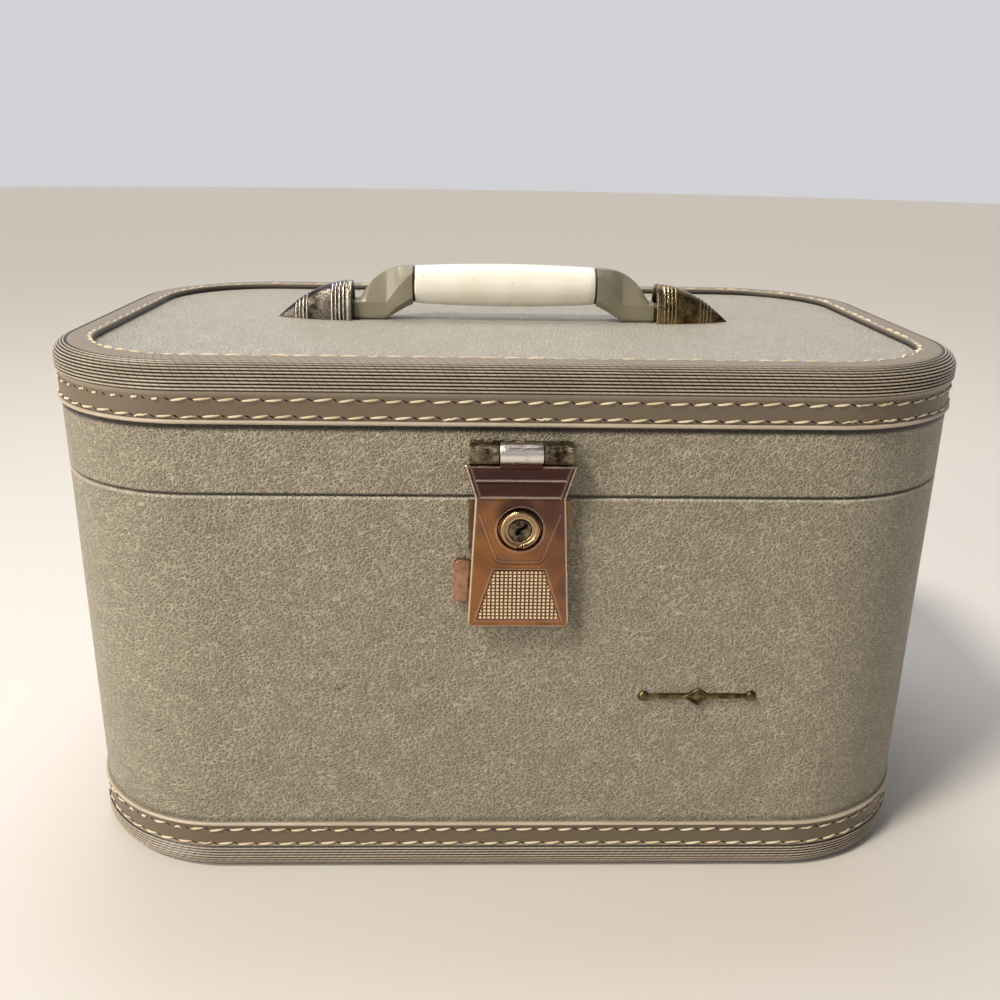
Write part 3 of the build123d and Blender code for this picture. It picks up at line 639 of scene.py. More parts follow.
class Palette:
    """Every finish of the case, each built once.

    A metal's colour is what it reflects, so the plated ones are brighter here than they look.
    """

    def __init__(self) -> None:
        """Builds the materials."""
        self.body_vinyl = GrainedVinyl(
            "calendered_pvc_body", "837a66", "8b826c", "564d3d", "cdc4ac", "7a6955",
            scuffs=((-60 * MM, 78 * MM, 5 * MM), (-27 * MM, 82 * MM, 3.4 * MM), (-128 * MM, 58 * MM, 4 * MM)),
        ).build()
        self.panel_vinyl = GrainedVinyl(
            "calendered_pvc_panel", "a39d8d", "aaa494", "7f796a", "d2cebf", "968c7b",
            cell=1.15 * MM, crease_share=0.8, grain_depth=0.4 * MM,
        ).build()
        # The second tone is the painted shade in the grooves; the last darkens the plain lip, and the flat
        # leg as painted shade.
        self.binding = ExtrudedVinyl("extruded_pvc_binding", "b0a38f", "1a120c", "c2b7a4", "6a5d4c").build()
        self.thread = WaxedThread("waxed_cotton_thread", "f1e7ca", "d2c095").build()
        self.hole = MattPaint("needle_hole_shadow", "1c1511").build()
        # The warm browns and plums in the plated metals' colours are partly painted reflection of warm, dark
        # surroundings; the rest is their plating and tarnish.
        self.nickel = PlatedMetal(
            "nickel_plated_steel", "8c7f68", "2e251a", tarnish_from=0.4, roughness=0.14,
            tarnish_roughness=0.3, relief=0.12 * MM,
        ).build()
        self.bright_nickel = PlatedMetal(
            "polished_nickel_knuckle", "e2ddd6", "a89d92", tarnish_from=0.55, pit_share=0.2
        ).build()
        # A darker copy of the nickel for the lock case: painted shade beside the flap.
        self.shaded_nickel = PlatedMetal(
            "lock_plate_painted_shade", "80664e", "4b3724", roughness=0.24, pit_share=0.2, patch_size=16 * MM
        ).build()
        self.hinge_steel = PlatedMetal(
            "brass_washed_hinge_steel", "a3936e", "84734f", tarnish_from=0.5, roughness=0.28,
            tarnish_roughness=0.36, patch_size=14 * MM, pit_share=0.25,
        ).build()
        self.tab_copper = PlatedMetal(
            "coppered_release_tab", "b68d70", "8e6650", roughness=0.36, tarnish_roughness=0.46, pit_share=0.2
        ).build()
        cast = {
            "tarnish_from": 0.42, "roughness": 0.13, "tarnish_roughness": 0.26, "patch_size": 7 * MM,
            "pit_size": 1.6 * MM, "relief": 0.09 * MM,
        }
        self.pewter = PlatedMetal(
            "aged_plated_zinc_casting", "67605a", "2a241f", pit_share=0.8, **cast
        ).build()
        # The right cap's browner copy of the same casting: painted warm reflection.
        self.dark_pewter = PlatedMetal(
            "plated_zinc_casting_painted_warm_reflection", "8d7852", "3f2e1c", pit_share=0.6, rubbed="c8b896", **cast
        ).build()
        self.gilt = PlatedMetal(
            "gilt_lock_ring", "ab9070", "75583c", tarnish_from=0.48, roughness=0.1, tarnish_roughness=0.16,
            pit_share=0.0, patch_size=6 * MM,
        ).build()
        self.knurl = PlatedMetal(
            "knurled_gilt_steel", "8d6b48", "6b4c34", tarnish_from=0.5, roughness=0.3, pit_share=0.0,
            patch_size=12 * MM, relief=0.005 * MM, rubbed="f4e6c8",
        ).build()
        self.bronze = PlatedMetal(
            "bronzed_zinc_ornament", "7d6d4d", "41351f", tarnish_from=0.4, roughness=0.3
        ).build()
        # The flap's plum and orange tones are painted reflection over its copper tint.
        self.copper = CopperedFlap(
            "coppered_pressed_steel", "4a322f", "79584a", "946640", "dcc9b8",
            panel_height=152.6 * MM, lock_place=(3 * MM, 141.5 * MM),
        ).build()
        self.arm = MouldedPlastic(
            "moulded_abs_arm", "827c68", "8a8470", "5f5746", roughness=0.36, coat=0.15
        ).build()
        self.grip = MouldedPlastic(
            "moulded_polystyrene_grip", "faf8ec", "f0ead6", "8d8468", roughness=0.24,
            speck_size=6 * MM, speck_share=0.6, coat=0.25,
        ).build()
        # The collars' near-black tone is painted shade for the gap between grip and arm.
        self.collar = MouldedPlastic("dark_collar_painted_gap_shade", "2b241d", "382f26", "15110d", roughness=0.6).build()
        self.frame = MouldedPlastic("moulded_mirror_frame", "c9c0ab", "bdb39d", "8b826c").build()
        self.tray = MouldedPlastic("moulded_tray", "c7bda9", "bbb09a", "8b826c", roughness=0.4).build()
        # The closure strip's dark tone keeps the seam black: painted shade on a real strip.
        self.strip = PlatedMetal(
            "closure_strip_dark_for_seam_shade", "4b463d", "36312a", roughness=0.4, tarnish_roughness=0.5,
            pit_share=0.2, patch_size=30 * MM,
        ).build()
        self.lining = WovenLining("woven_rayon_lining", "b9ab94", "938570").build()
        self.board = PressedBoard("pressed_fibre_board", "7a5c3c", "a08358").build()
        self.mirror = SilveredGlass("silvered_float_glass", "dfe4e2", "c3cac6").build()
        self.floor = MattPaint("matt_studio_floor", "d6d3cd").build()


# --------------------------------------------------------------------------------- mesh helpers


@contextmanager
def opened(mesh: bpy.types.Mesh) -> Iterator[bmesh.types.BMesh]:
    """Opens a mesh for editing, and closes it with all its faces turned outward.

    Args:
        mesh: The mesh, which may still be empty.

    Yields:
        Its corners, edges and faces.
    """
    shape = bmesh.new()
    shape.from_mesh(mesh)
    yield shape
    bmesh.ops.recalc_face_normals(shape, faces=shape.faces)
    shape.to_mesh(mesh)
    shape.free()


def smooth(mesh: bpy.types.Mesh, sharp: float) -> None:
    """Shades a mesh smooth, except where faces meet at more than that many degrees."""
    mesh.shade_smooth()
    mesh.set_sharp_from_angle(angle=radians(sharp))


def linked(name: str, data: bpy.types.ID) -> Object:
    """Makes an object from its data and links it to the scene."""
    made = bpy.data.objects.new(name, data)
    bpy.context.scene.collection.objects.link(made)
    return made


def shown(mesh: bpy.types.Mesh, material: Material, sharp: float) -> Object:
    """Puts a mesh into the scene under its own name, smooth and in its material."""
    smooth(mesh, sharp)
    mesh.materials.append(material)
    return linked(mesh.name, mesh)


def facing(turn: float) -> tuple[Vector, Vector]:
    """The way out of the case and the way along it, for a turn from +X."""
    outward = Vector((cos(turn), sin(turn), 0))
    return outward, Vector((-outward.y, outward.x, 0))


def circle(radius: float, steps: int) -> list[Point]:
    """Spreads points evenly round a circle."""
    turns = [FULL_TURN * k / steps for k in range(steps)]
    return [(radius * cos(turn), radius * sin(turn)) for turn in turns]


def dome(rise: float, radius: float, steps: int) -> list[Point]:
    """Profile of a low dome, as distance along its axis and radius."""
    turns = [QUARTER_TURN * k / steps for k in range(steps + 1)]
    return [(rise * sin(turn), radius * cos(turn)) for turn in turns]


def bell(distance: float, width: float) -> float:
    """Is 1 where the distance is 0, and falls off smoothly within about the width."""
    return exp(-((distance / width) ** 2))


def side_word(side: int) -> str:
    """Names the side of a part: -1 is left and 1 is right."""
    return "left" if side < 0 else "right"


def make_object(
    name: str,
    vertices: Sequence[Vector],
    faces: Sequence[Sequence[int]],
    material: Material,
    attributes: dict[str, Sequence[float]] | None = None,
    uv: Sequence[Sequence[Point]] | None = None,
    sharp: float = SMOOTH,
) -> Object:
    """Makes an object from corners and faces, smooth except at sharp edges.

    Args:
        name: The piece's name.
        vertices: Its corners, in metres.
        faces: Corner numbers of each face.
        material: What it is made of.
        attributes: Numbers for each corner, by name, that the material reads.
        uv: A place on the material for each corner of each face.
        sharp: Faces that meet at more than this, in degrees, stay faceted.

    Returns:
        The new object, linked to the scene.
    """
    mesh = bpy.data.meshes.new(name)
    mesh.from_pydata([tuple(v) for v in vertices], [], [tuple(f) for f in faces])
    for key, values in (attributes or {}).items():
        mesh.attributes.new(key, "FLOAT", "POINT").data.foreach_set("value", list(values))
    if uv:
        layer = mesh.uv_layers.new(name="UVMap")
        layer.data.foreach_set("uv", [c for face in uv for corner in face for c in corner])
    with opened(mesh):
        pass
    return shown(mesh, material, sharp)


def grid_object(
    name: str,
    rows: Sequence[Sequence[Vector]],
    material: Material,
    around: bool = False,
    cap_ends: bool = False,
    attributes: dict[str, Sequence[float]] | None = None,
    sharp: float = SMOOTH,
) -> Object:
    """Makes a surface through rows of points.

    Args:
        name: The piece's name.
        rows: Rows of as many points each.
        material: What it is made of.
        around: Whether the last point of each row joins the first.
        cap_ends: Whether a face closes the first and the last row.
        attributes: Numbers for each point, by name.
        sharp: Faces that meet at more than this, in degrees, stay faceted.

    Returns:
        The new object.
    """
    width = len(rows[0])
    vertices = [point for row in rows for point in row]
    faces: list[list[int]] = []
    for r in range(len(rows) - 1):
        for c in range(width if around else width - 1):
            d = (c + 1) % width
            faces.append([r * width + c, r * width + d, (r + 1) * width + d, (r + 1) * width + c])
    if cap_ends:
        faces.append(list(range(width)))
        faces.append([(len(rows) - 1) * width + c for c in range(width)])
    return make_object(name, vertices, faces, material, attributes, sharp=sharp)


def turned_object(
    name: str,
    profile: Sequence[Point],
    centre: Vector,
    axis: Vector,
    material: Material,
    steps: int = 56,
    sharp: float = SMOOTH,
) -> Object:
    """Makes a round piece, as if turned on a lathe.

    Args:
        name: The piece's name.
        profile: Distance along the axis and radius, one after the other.
        centre: Where the axis starts.
        axis: Direction of the axis.
        material: What it is made of.
        steps: Number of sides.
        sharp: Faces that meet at more than this, in degrees, stay faceted.

    Returns:
        The new object.
    """
    turn = axis.to_track_quat("Z", "Y")
    rows = [[centre + turn @ Vector((x, y, a)) for x, y in circle(r, steps)] for a, r in profile]
    return grid_object(name, rows, material, around=True, cap_ends=True, sharp=sharp)


def block_object(name: str, low: Vector, high: Vector, edge: float, material: Material) -> Object:
    """Makes a block with rounded edges.

    Args:
        name: The piece's name.
        low: Its lowest corner.
        high: Its highest corner.
        edge: Radius of its edges.
        material: What it is made of.

    Returns:
        The new object.
    """
    mesh = bpy.data.meshes.new(name)
    fitted = Matrix.Translation((low + high) / 2) @ Matrix.Diagonal((*(high - low), 1))
    with opened(mesh) as shape:
        bmesh.ops.create_cube(shape, size=1.0, matrix=fitted)
        every = shape.edges[:]
        bmesh.ops.bevel(
            shape, geom=every, offset=edge, segments=3, profile=0.5, affect="EDGES", clamp_overlap=True
        )
    return shown(mesh, material, 50)


class TubeBundle:
    """Collects many short tubes into one mesh."""

    def __init__(self, sides: int = 6) -> None:
        """Starts an empty bundle whose tubes have that many sides."""
        self.sides = sides
        self.vertices: list[Vector] = []
        self.faces: list[list[int]] = []

    def add(self, points: Sequence[Vector], radii: Sequence[float]) -> None:
        """Adds a tube.

        Args:
            points: The tube's middle line.
            radii: Its radius at each point.
        """
        first = len(self.vertices)
        for k, point in enumerate(points):
            ahead = points[min(k + 1, len(points) - 1)] - points[max(k - 1, 0)]
            upright = abs(ahead.normalized().z) > 0.95
            across = (ahead.orthogonal() if upright else ahead.cross(Vector((0, 0, 1)))).normalized()
            upward = across.cross(ahead).normalized()
            for x, y in circle(1.0, self.sides):
                self.vertices.append(point + radii[k] * (x * across + y * upward))
        for k in range(len(points) - 1):
            for s in range(self.sides):
                t = (s + 1) % self.sides
                a, b = first + k * self.sides, first + (k + 1) * self.sides
                self.faces.append([a + s, a + t, b + t, b + s])
        self.faces.append([first + s for s in range(self.sides)])
        self.faces.append([len(self.vertices) - self.sides + s for s in range(self.sides)])

    def make(self, name: str, material: Material) -> Object:
        """Makes the object that holds all the tubes."""
        return make_object(name, self.vertices, self.faces, material, sharp=80)


class Station(NamedTuple):
    """A place on the case's outline: the point and the way out of the case."""

    point: Vector
    outward: Vector


@dataclass(frozen=True)
class PlanOutline:
    """The case's outline seen from above, walked to the right from the middle of the front."""

    half_width: float
    half_depth: float
    corner_radius: float = 57 * MM

    @property
    def runs(self) -> Triple:
        """Half of the front's straight run, half of a side's, and the length of one corner."""
        return (
            self.half_width - self.corner_radius,
            self.half_depth - self.corner_radius,
            self.corner_radius * QUARTER_TURN,
        )

    @property
    def length(self) -> float:
        """Length of the whole outline."""
        run_x, run_y, corner = self.runs
        return 4 * (run_x + run_y + corner)

    def at(self, along: float) -> Station:
        """Finds a place on the outline.

        Args:
            along: Distance walked.

        Returns:
            The station there.
        """
        run_x, run_y, corner = self.runs
        rest = along % self.length
        turn = -QUARTER_TURN
        centre = Vector((0, -run_y, 0))
        for straight, bend in (
            (run_x, corner), (2 * run_y, corner), (2 * run_x, corner), (2 * run_y, corner), (run_x, 0.0)
        ):
            outward, ahead = facing(turn)
            if rest <= straight:
                return Station(centre + ahead * rest + outward * self.corner_radius, outward)
            centre += ahead * straight
            rest -= straight
            if rest < bend:
                turn += rest / self.corner_radius
                outward, _ = facing(turn)
                return Station(centre + outward * self.corner_radius, outward)
            rest -= bend
            turn += QUARTER_TURN
        return self.at(0.0)

    def walk(self, spacing: float) -> list[float]:
        """Distances of evenly spread stations, about spacing apart."""
        count = round(self.length / spacing)
        return [k * self.length / count for k in range(count)]

    def sweep(
        self,
        name: str,
        profile: Sequence[Point],
        material: Material,
        marks: dict[str, Sequence[float]] | None = None,
        ripple: float = 0.0,
        spacing: float = 2.6 * MM,
    ) -> Object:
        """Carries a closed profile round the outline.

        Args:
            name: The piece's name.
            profile: Distance out of the covering's face and height, one after the other.
            material: What it is made of.
            marks: Numbers for each point of the profile, by name, that the material reads.
            ripple: How far the surface wanders in and out.
            spacing: Distance between stations.

        Returns:
            The new object.
        """
        distances = self.walk(spacing)
        count, points = len(distances), len(profile)
        lengths = [0.0]
        for k in range(points):
            (o1, h1), (o2, h2) = profile[k], profile[(k + 1) % points]
            lengths.append(lengths[-1] + hypot(o2 - o1, h2 - h1))
        vertices = []
        for along in distances:
            station = self.at(along)
            for out, height in profile:
                place = station.point + station.outward * out + Vector((0, 0, height))
                wander = ripple * noise.noise(place * RIPPLES_PER_METRE) if ripple else 0.0
                vertices.append(place + station.outward * wander)
        faces, uv = [], []
        for s in range(count):
            t = (s + 1) % count
            here, there = distances[s], distances[s] + self.length / count
            for p in range(points):
                q = (p + 1) % points
                faces.append([s * points + p, t * points + p, t * points + q, s * points + q])
                start, end = lengths[p], lengths[p + 1]
                uv.append([(here, start), (there, start), (there, end), (here, end)])
        attributes = {key: list(values) * count for key, values in (marks or {}).items()}
        return make_object(name, vertices, faces, material, attributes, uv)


def smooth_step(value: float, start: float, end: float) -> float:
    """Rises smoothly from 0 at start to 1 at end."""
    share = min(1.0, max(0.0, (value - start) / (end - start)))
    return share * share * (3 - 2 * share)


def dress(node: str, material: Material) -> None:
    """Gives a carried-over node its finish.

    Args:
        node: The node's name.
        material: What it is made of.
    """
    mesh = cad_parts[node].data
    mesh.materials.clear()
    mesh.materials.append(material)


def settle(piece: Object, body: str, slot: str, *replaced: str) -> Object:
    """Puts a finished piece on its body.

    Args:
        piece: The piece, in place.
        body: The body that it moves with.
        slot: Not used.
        *replaced: Nodes that it stands for.

    Returns:
        The same piece.
    """
    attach(piece, body)
    if replaced:
        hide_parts(*replaced)
    return piece


# ---------------------------------------------------------------------------------- the case


@dataclass
class Coverings:
    """The grained covering of the body, of the lid's side and of the lid's panel."""

    outline: PlanOutline
    palette: Palette
    sheet: float = 0.8 * MM
    edge_round: float = 0.6 * MM
    row_height: float = 9 * MM
    ripple: float = 0.16 * MM
    rim_turn: float = 5.5 * MM
    bevel: float = 3 * MM
    turn_in: float = 12 * MM
    binding_height: float = 20.6 * MM
    fold_depth: float = 2.6 * MM
    rim_gap: float = 0.06 * MM
    painted_shade_reach: float = 2.6 * MM
    panel_rings: int = 26
    panel_rim: float = 0.85
    padding: float = 0.12 * MM

    def marks(self, points: Sequence[Point], cut: float, fold: float, depth: float) -> dict[str, list[float]]:
        """Where a wall covering gets painted shade and where its edge gets a painted highlight.

        Args:
            points: Its section.
            cut: Height of its free edge.
            fold: Height of its turned-in face.
            depth: How dark the painted shade along the binding's lip is.

        Returns:
            The painted shade and the painted highlight at each point, by name.
        """
        way = 1 if fold > cut else -1
        lip = fold - way * (self.binding_height - self.fold_depth)
        # Painted shade next to the binding's lip, fading out within its reach.
        full, clean = 0.45 * self.painted_shade_reach, self.painted_shade_reach
        painted_shade = [
            depth * (1 - smooth_step(way * (lip - h), full, clean)) if out == 0 else 0.0 for out, h in points
        ]
        near_cut = [1 - smooth_step(abs(h - cut), 0.55 * MM, 0.95 * MM) for _, h in points]
        if way > 0:
            # The lid's edge hangs over the seam and is darkened there: painted shade.
            dark_edge = [max(g, 0.85 * n) for g, n in zip(painted_shade, near_cut)]
            return {"painted_shade": dark_edge, "edge": [0.0] * len(points)}
        # The body's inner rim, down in the seam, gets painted shade, and its round edge below the seam a
        # painted highlight through the edge attribute.
        inner = [0.6 if out < -0.5 * MM else 0.0 for out, _ in points]
        return {"painted_shade": [max(g, i) for g, i in zip(painted_shade, inner)], "edge": [0.75 * n for n in near_cut]}

    def wall_profile(self, cut: float, fold: float) -> list[Point]:
        """Section of a wall covering.

        Args:
            cut: Height of its free edge, at the seam.
            fold: Height of the face that is turned in under the board.

        Returns:
            Distance outward and height of each point.
        """
        way = 1 if fold > cut else -1
        edge = self.edge_round
        rows = max(2, round(abs(fold - cut) / self.row_height))
        foot = fold - way * self.bevel
        lip = fold - way * (self.binding_height - self.fold_depth)
        heights = [cut + way * edge + (foot - cut - way * edge) * k / rows for k in range(rows + 1)]
        heights += [cut + way * (edge + 0.2 * MM), cut + way * (edge + 0.6 * MM)]
        heights += [lip - way * self.painted_shade_reach * k / 4 for k in range(6)]
        outer = [(0.0, h) for h in sorted(set(heights), reverse=way < 0)]
        rim, inside = cut - way * self.rim_gap, fold - way * self.sheet
        return [
            (-self.rim_turn, rim),
            (-edge, rim),
            (-edge * 0.3, cut + way * edge * 0.3),
            *outer,
            (-self.bevel, fold),
            (-self.turn_in, fold),
            (-self.turn_in, inside),
            (-self.bevel - self.sheet, inside),
            (-self.sheet * 1.5, foot - way * self.sheet),
            (-self.rim_turn, foot - way * self.rim_turn),
        ]

    def build(self) -> list[Object]:
        """Builds the coverings.

        Returns:
            The body's covering, the lid's and the lid's panel.
        """
        body_low, body_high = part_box("body_cover")
        lid_low, lid_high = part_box("lid_cover")
        walls = []
        # The last number is how dark the painted shade along each binding's lip gets.
        for name, cut, fold, depth in (
            ("body_covering", body_high.z, body_low.z, 0.35),
            ("lid_covering", lid_low.z, lid_high.z, 0.97),
        ):
            points = self.wall_profile(cut, fold)
            marks = self.marks(points, cut, fold, depth)
            walls.append(self.outline.sweep(name, points, self.palette.body_vinyl, marks, ripple=self.ripple))
        body, lid = walls
        return [
            settle(body, "case", "body_vinyl", "body_cover"),
            settle(lid, "lid", "body_vinyl", "lid_cover"),
            self.build_panel(),
        ]

    def build_panel(self) -> Object:
        """Builds the lid's panel: a sheet that the paper under it makes a little uneven."""
        low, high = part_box("top_cover")
        inset = self.outline.half_width - high.x
        stations = [self.outline.at(along) for along in self.outline.walk(4 * MM)]
        edges = [station.point - station.outward * inset for station in stations]
        rows = []
        for ring in range(self.panel_rings + 1):
            share = 1 - max(0.0, ring - self.panel_rim) / (self.panel_rings - self.panel_rim) if ring else 1.0
            row = [Vector((edge.x * share, edge.y * share, high.z)) for edge in edges]
            for place in row:
                place.z += self.padding * noise.noise(place * PADDING_PER_METRE) * (1 - share**4)
            rows.append(row)
        floor_row = [Vector((p.x, p.y, low.z)) for p in rows[0]]
        # Painted shade round the panel's border, where the binding's flat leg steps down to it.
        painted_shade = [0.8 if r < 2 else 0.0 for r in range(len(rows) + 1) for _ in floor_row]
        vinyl = self.palette.panel_vinyl
        panel = grid_object("lid_panel", [floor_row, *rows], vinyl, around=True, attributes={"painted_shade": painted_shade})
        return settle(panel, "lid", "panel_vinyl", "top_cover")


@dataclass
class EdgeBindings:
    """Ribbed bindings round the upper and the lower edge, with their stitching."""

    outline: PlanOutline
    palette: Palette
    proud: float = 1.3 * MM
    seat: float = 2.6 * MM
    leg: float = 12.5 * MM
    height: float = 20.6 * MM
    corner: float = 5.4 * MM
    bevel: float = 3 * MM
    crest_pitch: float = 1.13 * MM
    groove_depth: float = 0.55 * MM
    upper_ribs_end: float = 9.3 * MM
    lower_ribs_end: float = 9.6 * MM
    bead: float = 0.9 * MM
    bead_height: float = 1.7 * MM
    thread_radius: float = 0.4 * MM
    stitch_pitch: float = 7.8 * MM
    stitch_length: float = 5.9 * MM
    stitch_lean: float = 0.75 * MM
    stitch_rows: tuple[Point, Point] = ((12.2 * MM, 17.9 * MM), (17.2 * MM, 11.1 * MM))
    samples: int = 6

    def profile(self, ribs_end: float) -> tuple[list[Point], dict[str, list[float]]]:
        """Section of a binding whose flat leg lies on height zero and whose lip points down.

        Args:
            ribs_end: How far below the flat the ribs reach on the upright side.

        Returns:
            Distance outward and depth below the flat of each point, and by name how much painted
            shade it gets in the groove tone (deep in a rib groove, at the bead's ends and on the flat
            leg's inner edge), how much the cross ticks show there and how far it takes the plain lip's
            darker tone, which on the flat leg is painted shade.
        """
        centre = self.proud - self.corner
        arc = self.corner * QUARTER_TURN
        upright = ribs_end - self.corner
        ribbed = arc * 0.9 + upright
        crests = round(ribbed / self.crest_pitch)
        face = self.proud - self.bead
        points: list[Point] = []
        grooves: list[float] = []
        # The bead's two ends take half the groove mark: painted shade lines above and below it.
        for k in range(9):
            share = k / 8
            swell = self.bead * sin(pi * share) ** 0.8
            points.append((face - 0.03 * MM + swell, self.height - self.bead_height * share))
            grooves.append(0.5 if k in (0, 8) else 0.0)
        lip_rows = 6
        lip_low, lip_high = self.height - self.bead_height - 0.3 * MM, ribs_end + 0.5 * MM
        for k in range(lip_rows + 1):
            points.append((face, lip_low + (lip_high - lip_low) * k / lip_rows))
            grooves.append(0.0)
        # Deep in each rib groove the groove mark lays painted shade.
        total = crests * self.samples
        for k in range(total + 1):
            along = ribbed * k / total
            wave = abs(sin(pi * k / self.samples)) ** 1.5
            depth = self.groove_depth * (1 - wave)
            if along <= upright:
                points.append((self.proud - depth, ribs_end - along))
            else:
                turn = (along - upright) / self.corner
                reach = self.corner - depth
                points.append((centre + reach * cos(turn), self.corner - reach * sin(turn)))
            grooves.append(1 - wave)
        flat_start, flat_end = centre - 0.6 * MM, -self.leg
        for k in range(6):
            points.append((flat_start + (flat_end + 0.6 * MM - flat_start) * k / 5, 0.0))
            grooves.append(0.0)
        points += [
            (flat_end + 0.15 * MM, 0.15 * MM),
            (flat_end, 0.6 * MM),
            (flat_end, self.seat),
            (-self.bevel, self.seat),
            (0.0, self.seat + self.bevel),
            (0.0, self.height),
        ]
        # The flat leg's inner edge takes the groove mark: a painted shade line where it steps down to the
        # panel.
        grooves += [0.2, 0.5, 0.8, 0.0, 0.0, 0.0]
        ticked = [
            0.0 if depth > ribs_end or out <= flat_end else 1.0 if depth < self.corner else 0.85
            for out, depth in points
        ]
        bead_start = self.height - self.bead_height
        # The lip mark lays the darker plain tone on the lip, and on the flat leg, where it is painted shade;
        # the bead is left out, so it keeps the lighter crest tone as a painted highlight.
        lip = [
            0.7 if depth == 0.0
            else smooth_step(depth, ribs_end, ribs_end + 1 * MM)
            * (1 - smooth_step(depth, bead_start, bead_start + 0.3 * MM))
            for _, depth in points
        ]
        return points, {"groove": grooves, "ticked": ticked, "lip": lip}

    def build(self) -> list[Object]:
        """Builds both bindings and all the stitching.

        Returns:
            The bindings, their thread and their needle holes.
        """
        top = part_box("top_binding")[1].z
        made = []
        for node, body, level, way, ribs_end in (
            ("top_binding", "lid", top, -1, self.upper_ribs_end),
            ("bottom_binding", "case", 0.0, 1, self.lower_ribs_end),
        ):
            points, marks = self.profile(ribs_end)
            section = [(out, level + way * depth) for out, depth in points]
            strip = f"{node}_strip"
            piece = self.outline.sweep(strip, section, self.palette.binding, marks, spacing=2.2 * MM)
            made.append(settle(piece, body, "binding_vinyl", node))
        face = self.proud - self.bead
        upper_rows, lower_rows = self.stitch_rows
        made += self.stitch("lid_lip", "lid", [(face, top - drop) for drop in upper_rows], seed=3)
        made += self.stitch("case_lip", "case", [(face, height) for height in lower_rows], seed=8)
        made += self.stitch_flat(top)
        return made

    def stitch(self, name: str, body: str, lines: Sequence[Point], seed: int) -> list[Object]:
        """Sews rows of stitches round an upright face.

        Args:
            name: What the rows are called.
            body: The body that they move with.
            lines: Distance outward and height of each row.
            seed: Seed of their small unevenness.

        Returns:
            The thread and the needle holes.
        """
        dice = random.Random(seed)
        thread, holes = TubeBundle(), TubeBundle(5)
        count = round(self.outline.length / self.stitch_pitch)
        pitch = self.outline.length / count
        for row, (out, height) in enumerate(lines):
            for k in range(count):
                middle = (k + 0.37 * row) * pitch + dice.uniform(-0.3, 0.3) * MM
                length = self.stitch_length * dice.uniform(0.88, 1.05)
                lean = self.stitch_lean * dice.uniform(0.6, 1.25)
                wobble = dice.uniform(-0.2, 0.2) * MM
                corner = self.in_corner(middle)
                frayed = dice.random() < (0.5 if corner else 0.06)
                path, radii = [], []
                for step in range(7):
                    share = step / 6 - 0.5
                    station = self.outline.at(middle + share * length)
                    lift = self.thread_radius * (1.25 * cos(pi * share) ** 0.5 - 0.5)
                    rise = share * lean + wobble + (dice.uniform(-0.25, 0.25) * MM if frayed else 0)
                    level = Vector((0, 0, height + rise))
                    path.append(station.point + station.outward * (out + lift) + level)
                    swell = (0.4, 0.8, 1.0, 1.08, 1.0, 0.8, 0.4)[step]
                    radii.append(self.thread_radius * swell * (dice.uniform(0.5, 1.12) if frayed else 1.0))
                outward = self.outline.at(middle).outward
                if corner and row == 0 and outward.x < 0 and dice.random() < 0.6:
                    # The outer row of the left corners is worn down to short ends.
                    first = dice.choice((2, 3))
                    path, radii = path[first : first + 3], radii[first : first + 3]
                thread.add(path, radii)
                if frayed:
                    self.fray(thread, path[dice.choice((0, -1))], outward, dice)
                self.needle_hole(holes, middle + pitch / 2, out, height + wobble, pitch - length)
        sewn = thread.make(f"{name}_thread", self.palette.thread)
        pricked = holes.make(f"{name}_needle_holes", self.palette.hole)
        return [settle(piece, body, "binding_vinyl") for piece in (sewn, pricked)]

    def in_corner(self, along: float) -> bool:
        """Whether a place along the outline lies on one of its round corners."""
        outward = self.outline.at(along).outward
        return min(abs(outward.x), abs(outward.y)) > 0.05

    def needle_hole(self, holes: TubeBundle, along: float, out: float, height: float, gap: float) -> None:
        """Adds the dark slot, painted shadow, where thread goes down and comes up again.

        Args:
            holes: The bundle that gets it.
            along: Middle of the slot on the outline.
            out: Distance of the face from the covering.
            height: Height of the row.
            gap: Distance between the two stitches.
        """
        path = []
        for share in (-0.5, 0.0, 0.5):
            station = self.outline.at(along + share * (gap - 0.5 * MM))
            rise = -share * 1.1 * self.stitch_lean
            path.append(station.point + station.outward * (out - 0.12 * MM) + Vector((0, 0, height + rise)))
        holes.add(path, [0.18 * MM, 0.36 * MM, 0.18 * MM])

    def fray(self, thread: TubeBundle, start: Vector, outward: Vector, dice: random.Random) -> None:
        """Adds a loose end that lies along the face beside a worn stitch.

        Args:
            thread: The bundle that gets it.
            start: Where it leaves the stitch.
            outward: The way out of the face.
            dice: What its direction is drawn from.
        """
        way = Vector((dice.uniform(-1, 1), dice.uniform(-1, 1), dice.uniform(-1, 1)))
        way = (way - outward * way.dot(outward)).normalized()
        length = dice.uniform(0.8, 1.8) * MM
        lift = outward * 0.12 * MM
        path = [start, start + way * length * 0.5, start + way * length + lift]
        thread.add(path, [self.thread_radius * share for share in (0.7, 0.5, 0.2)])

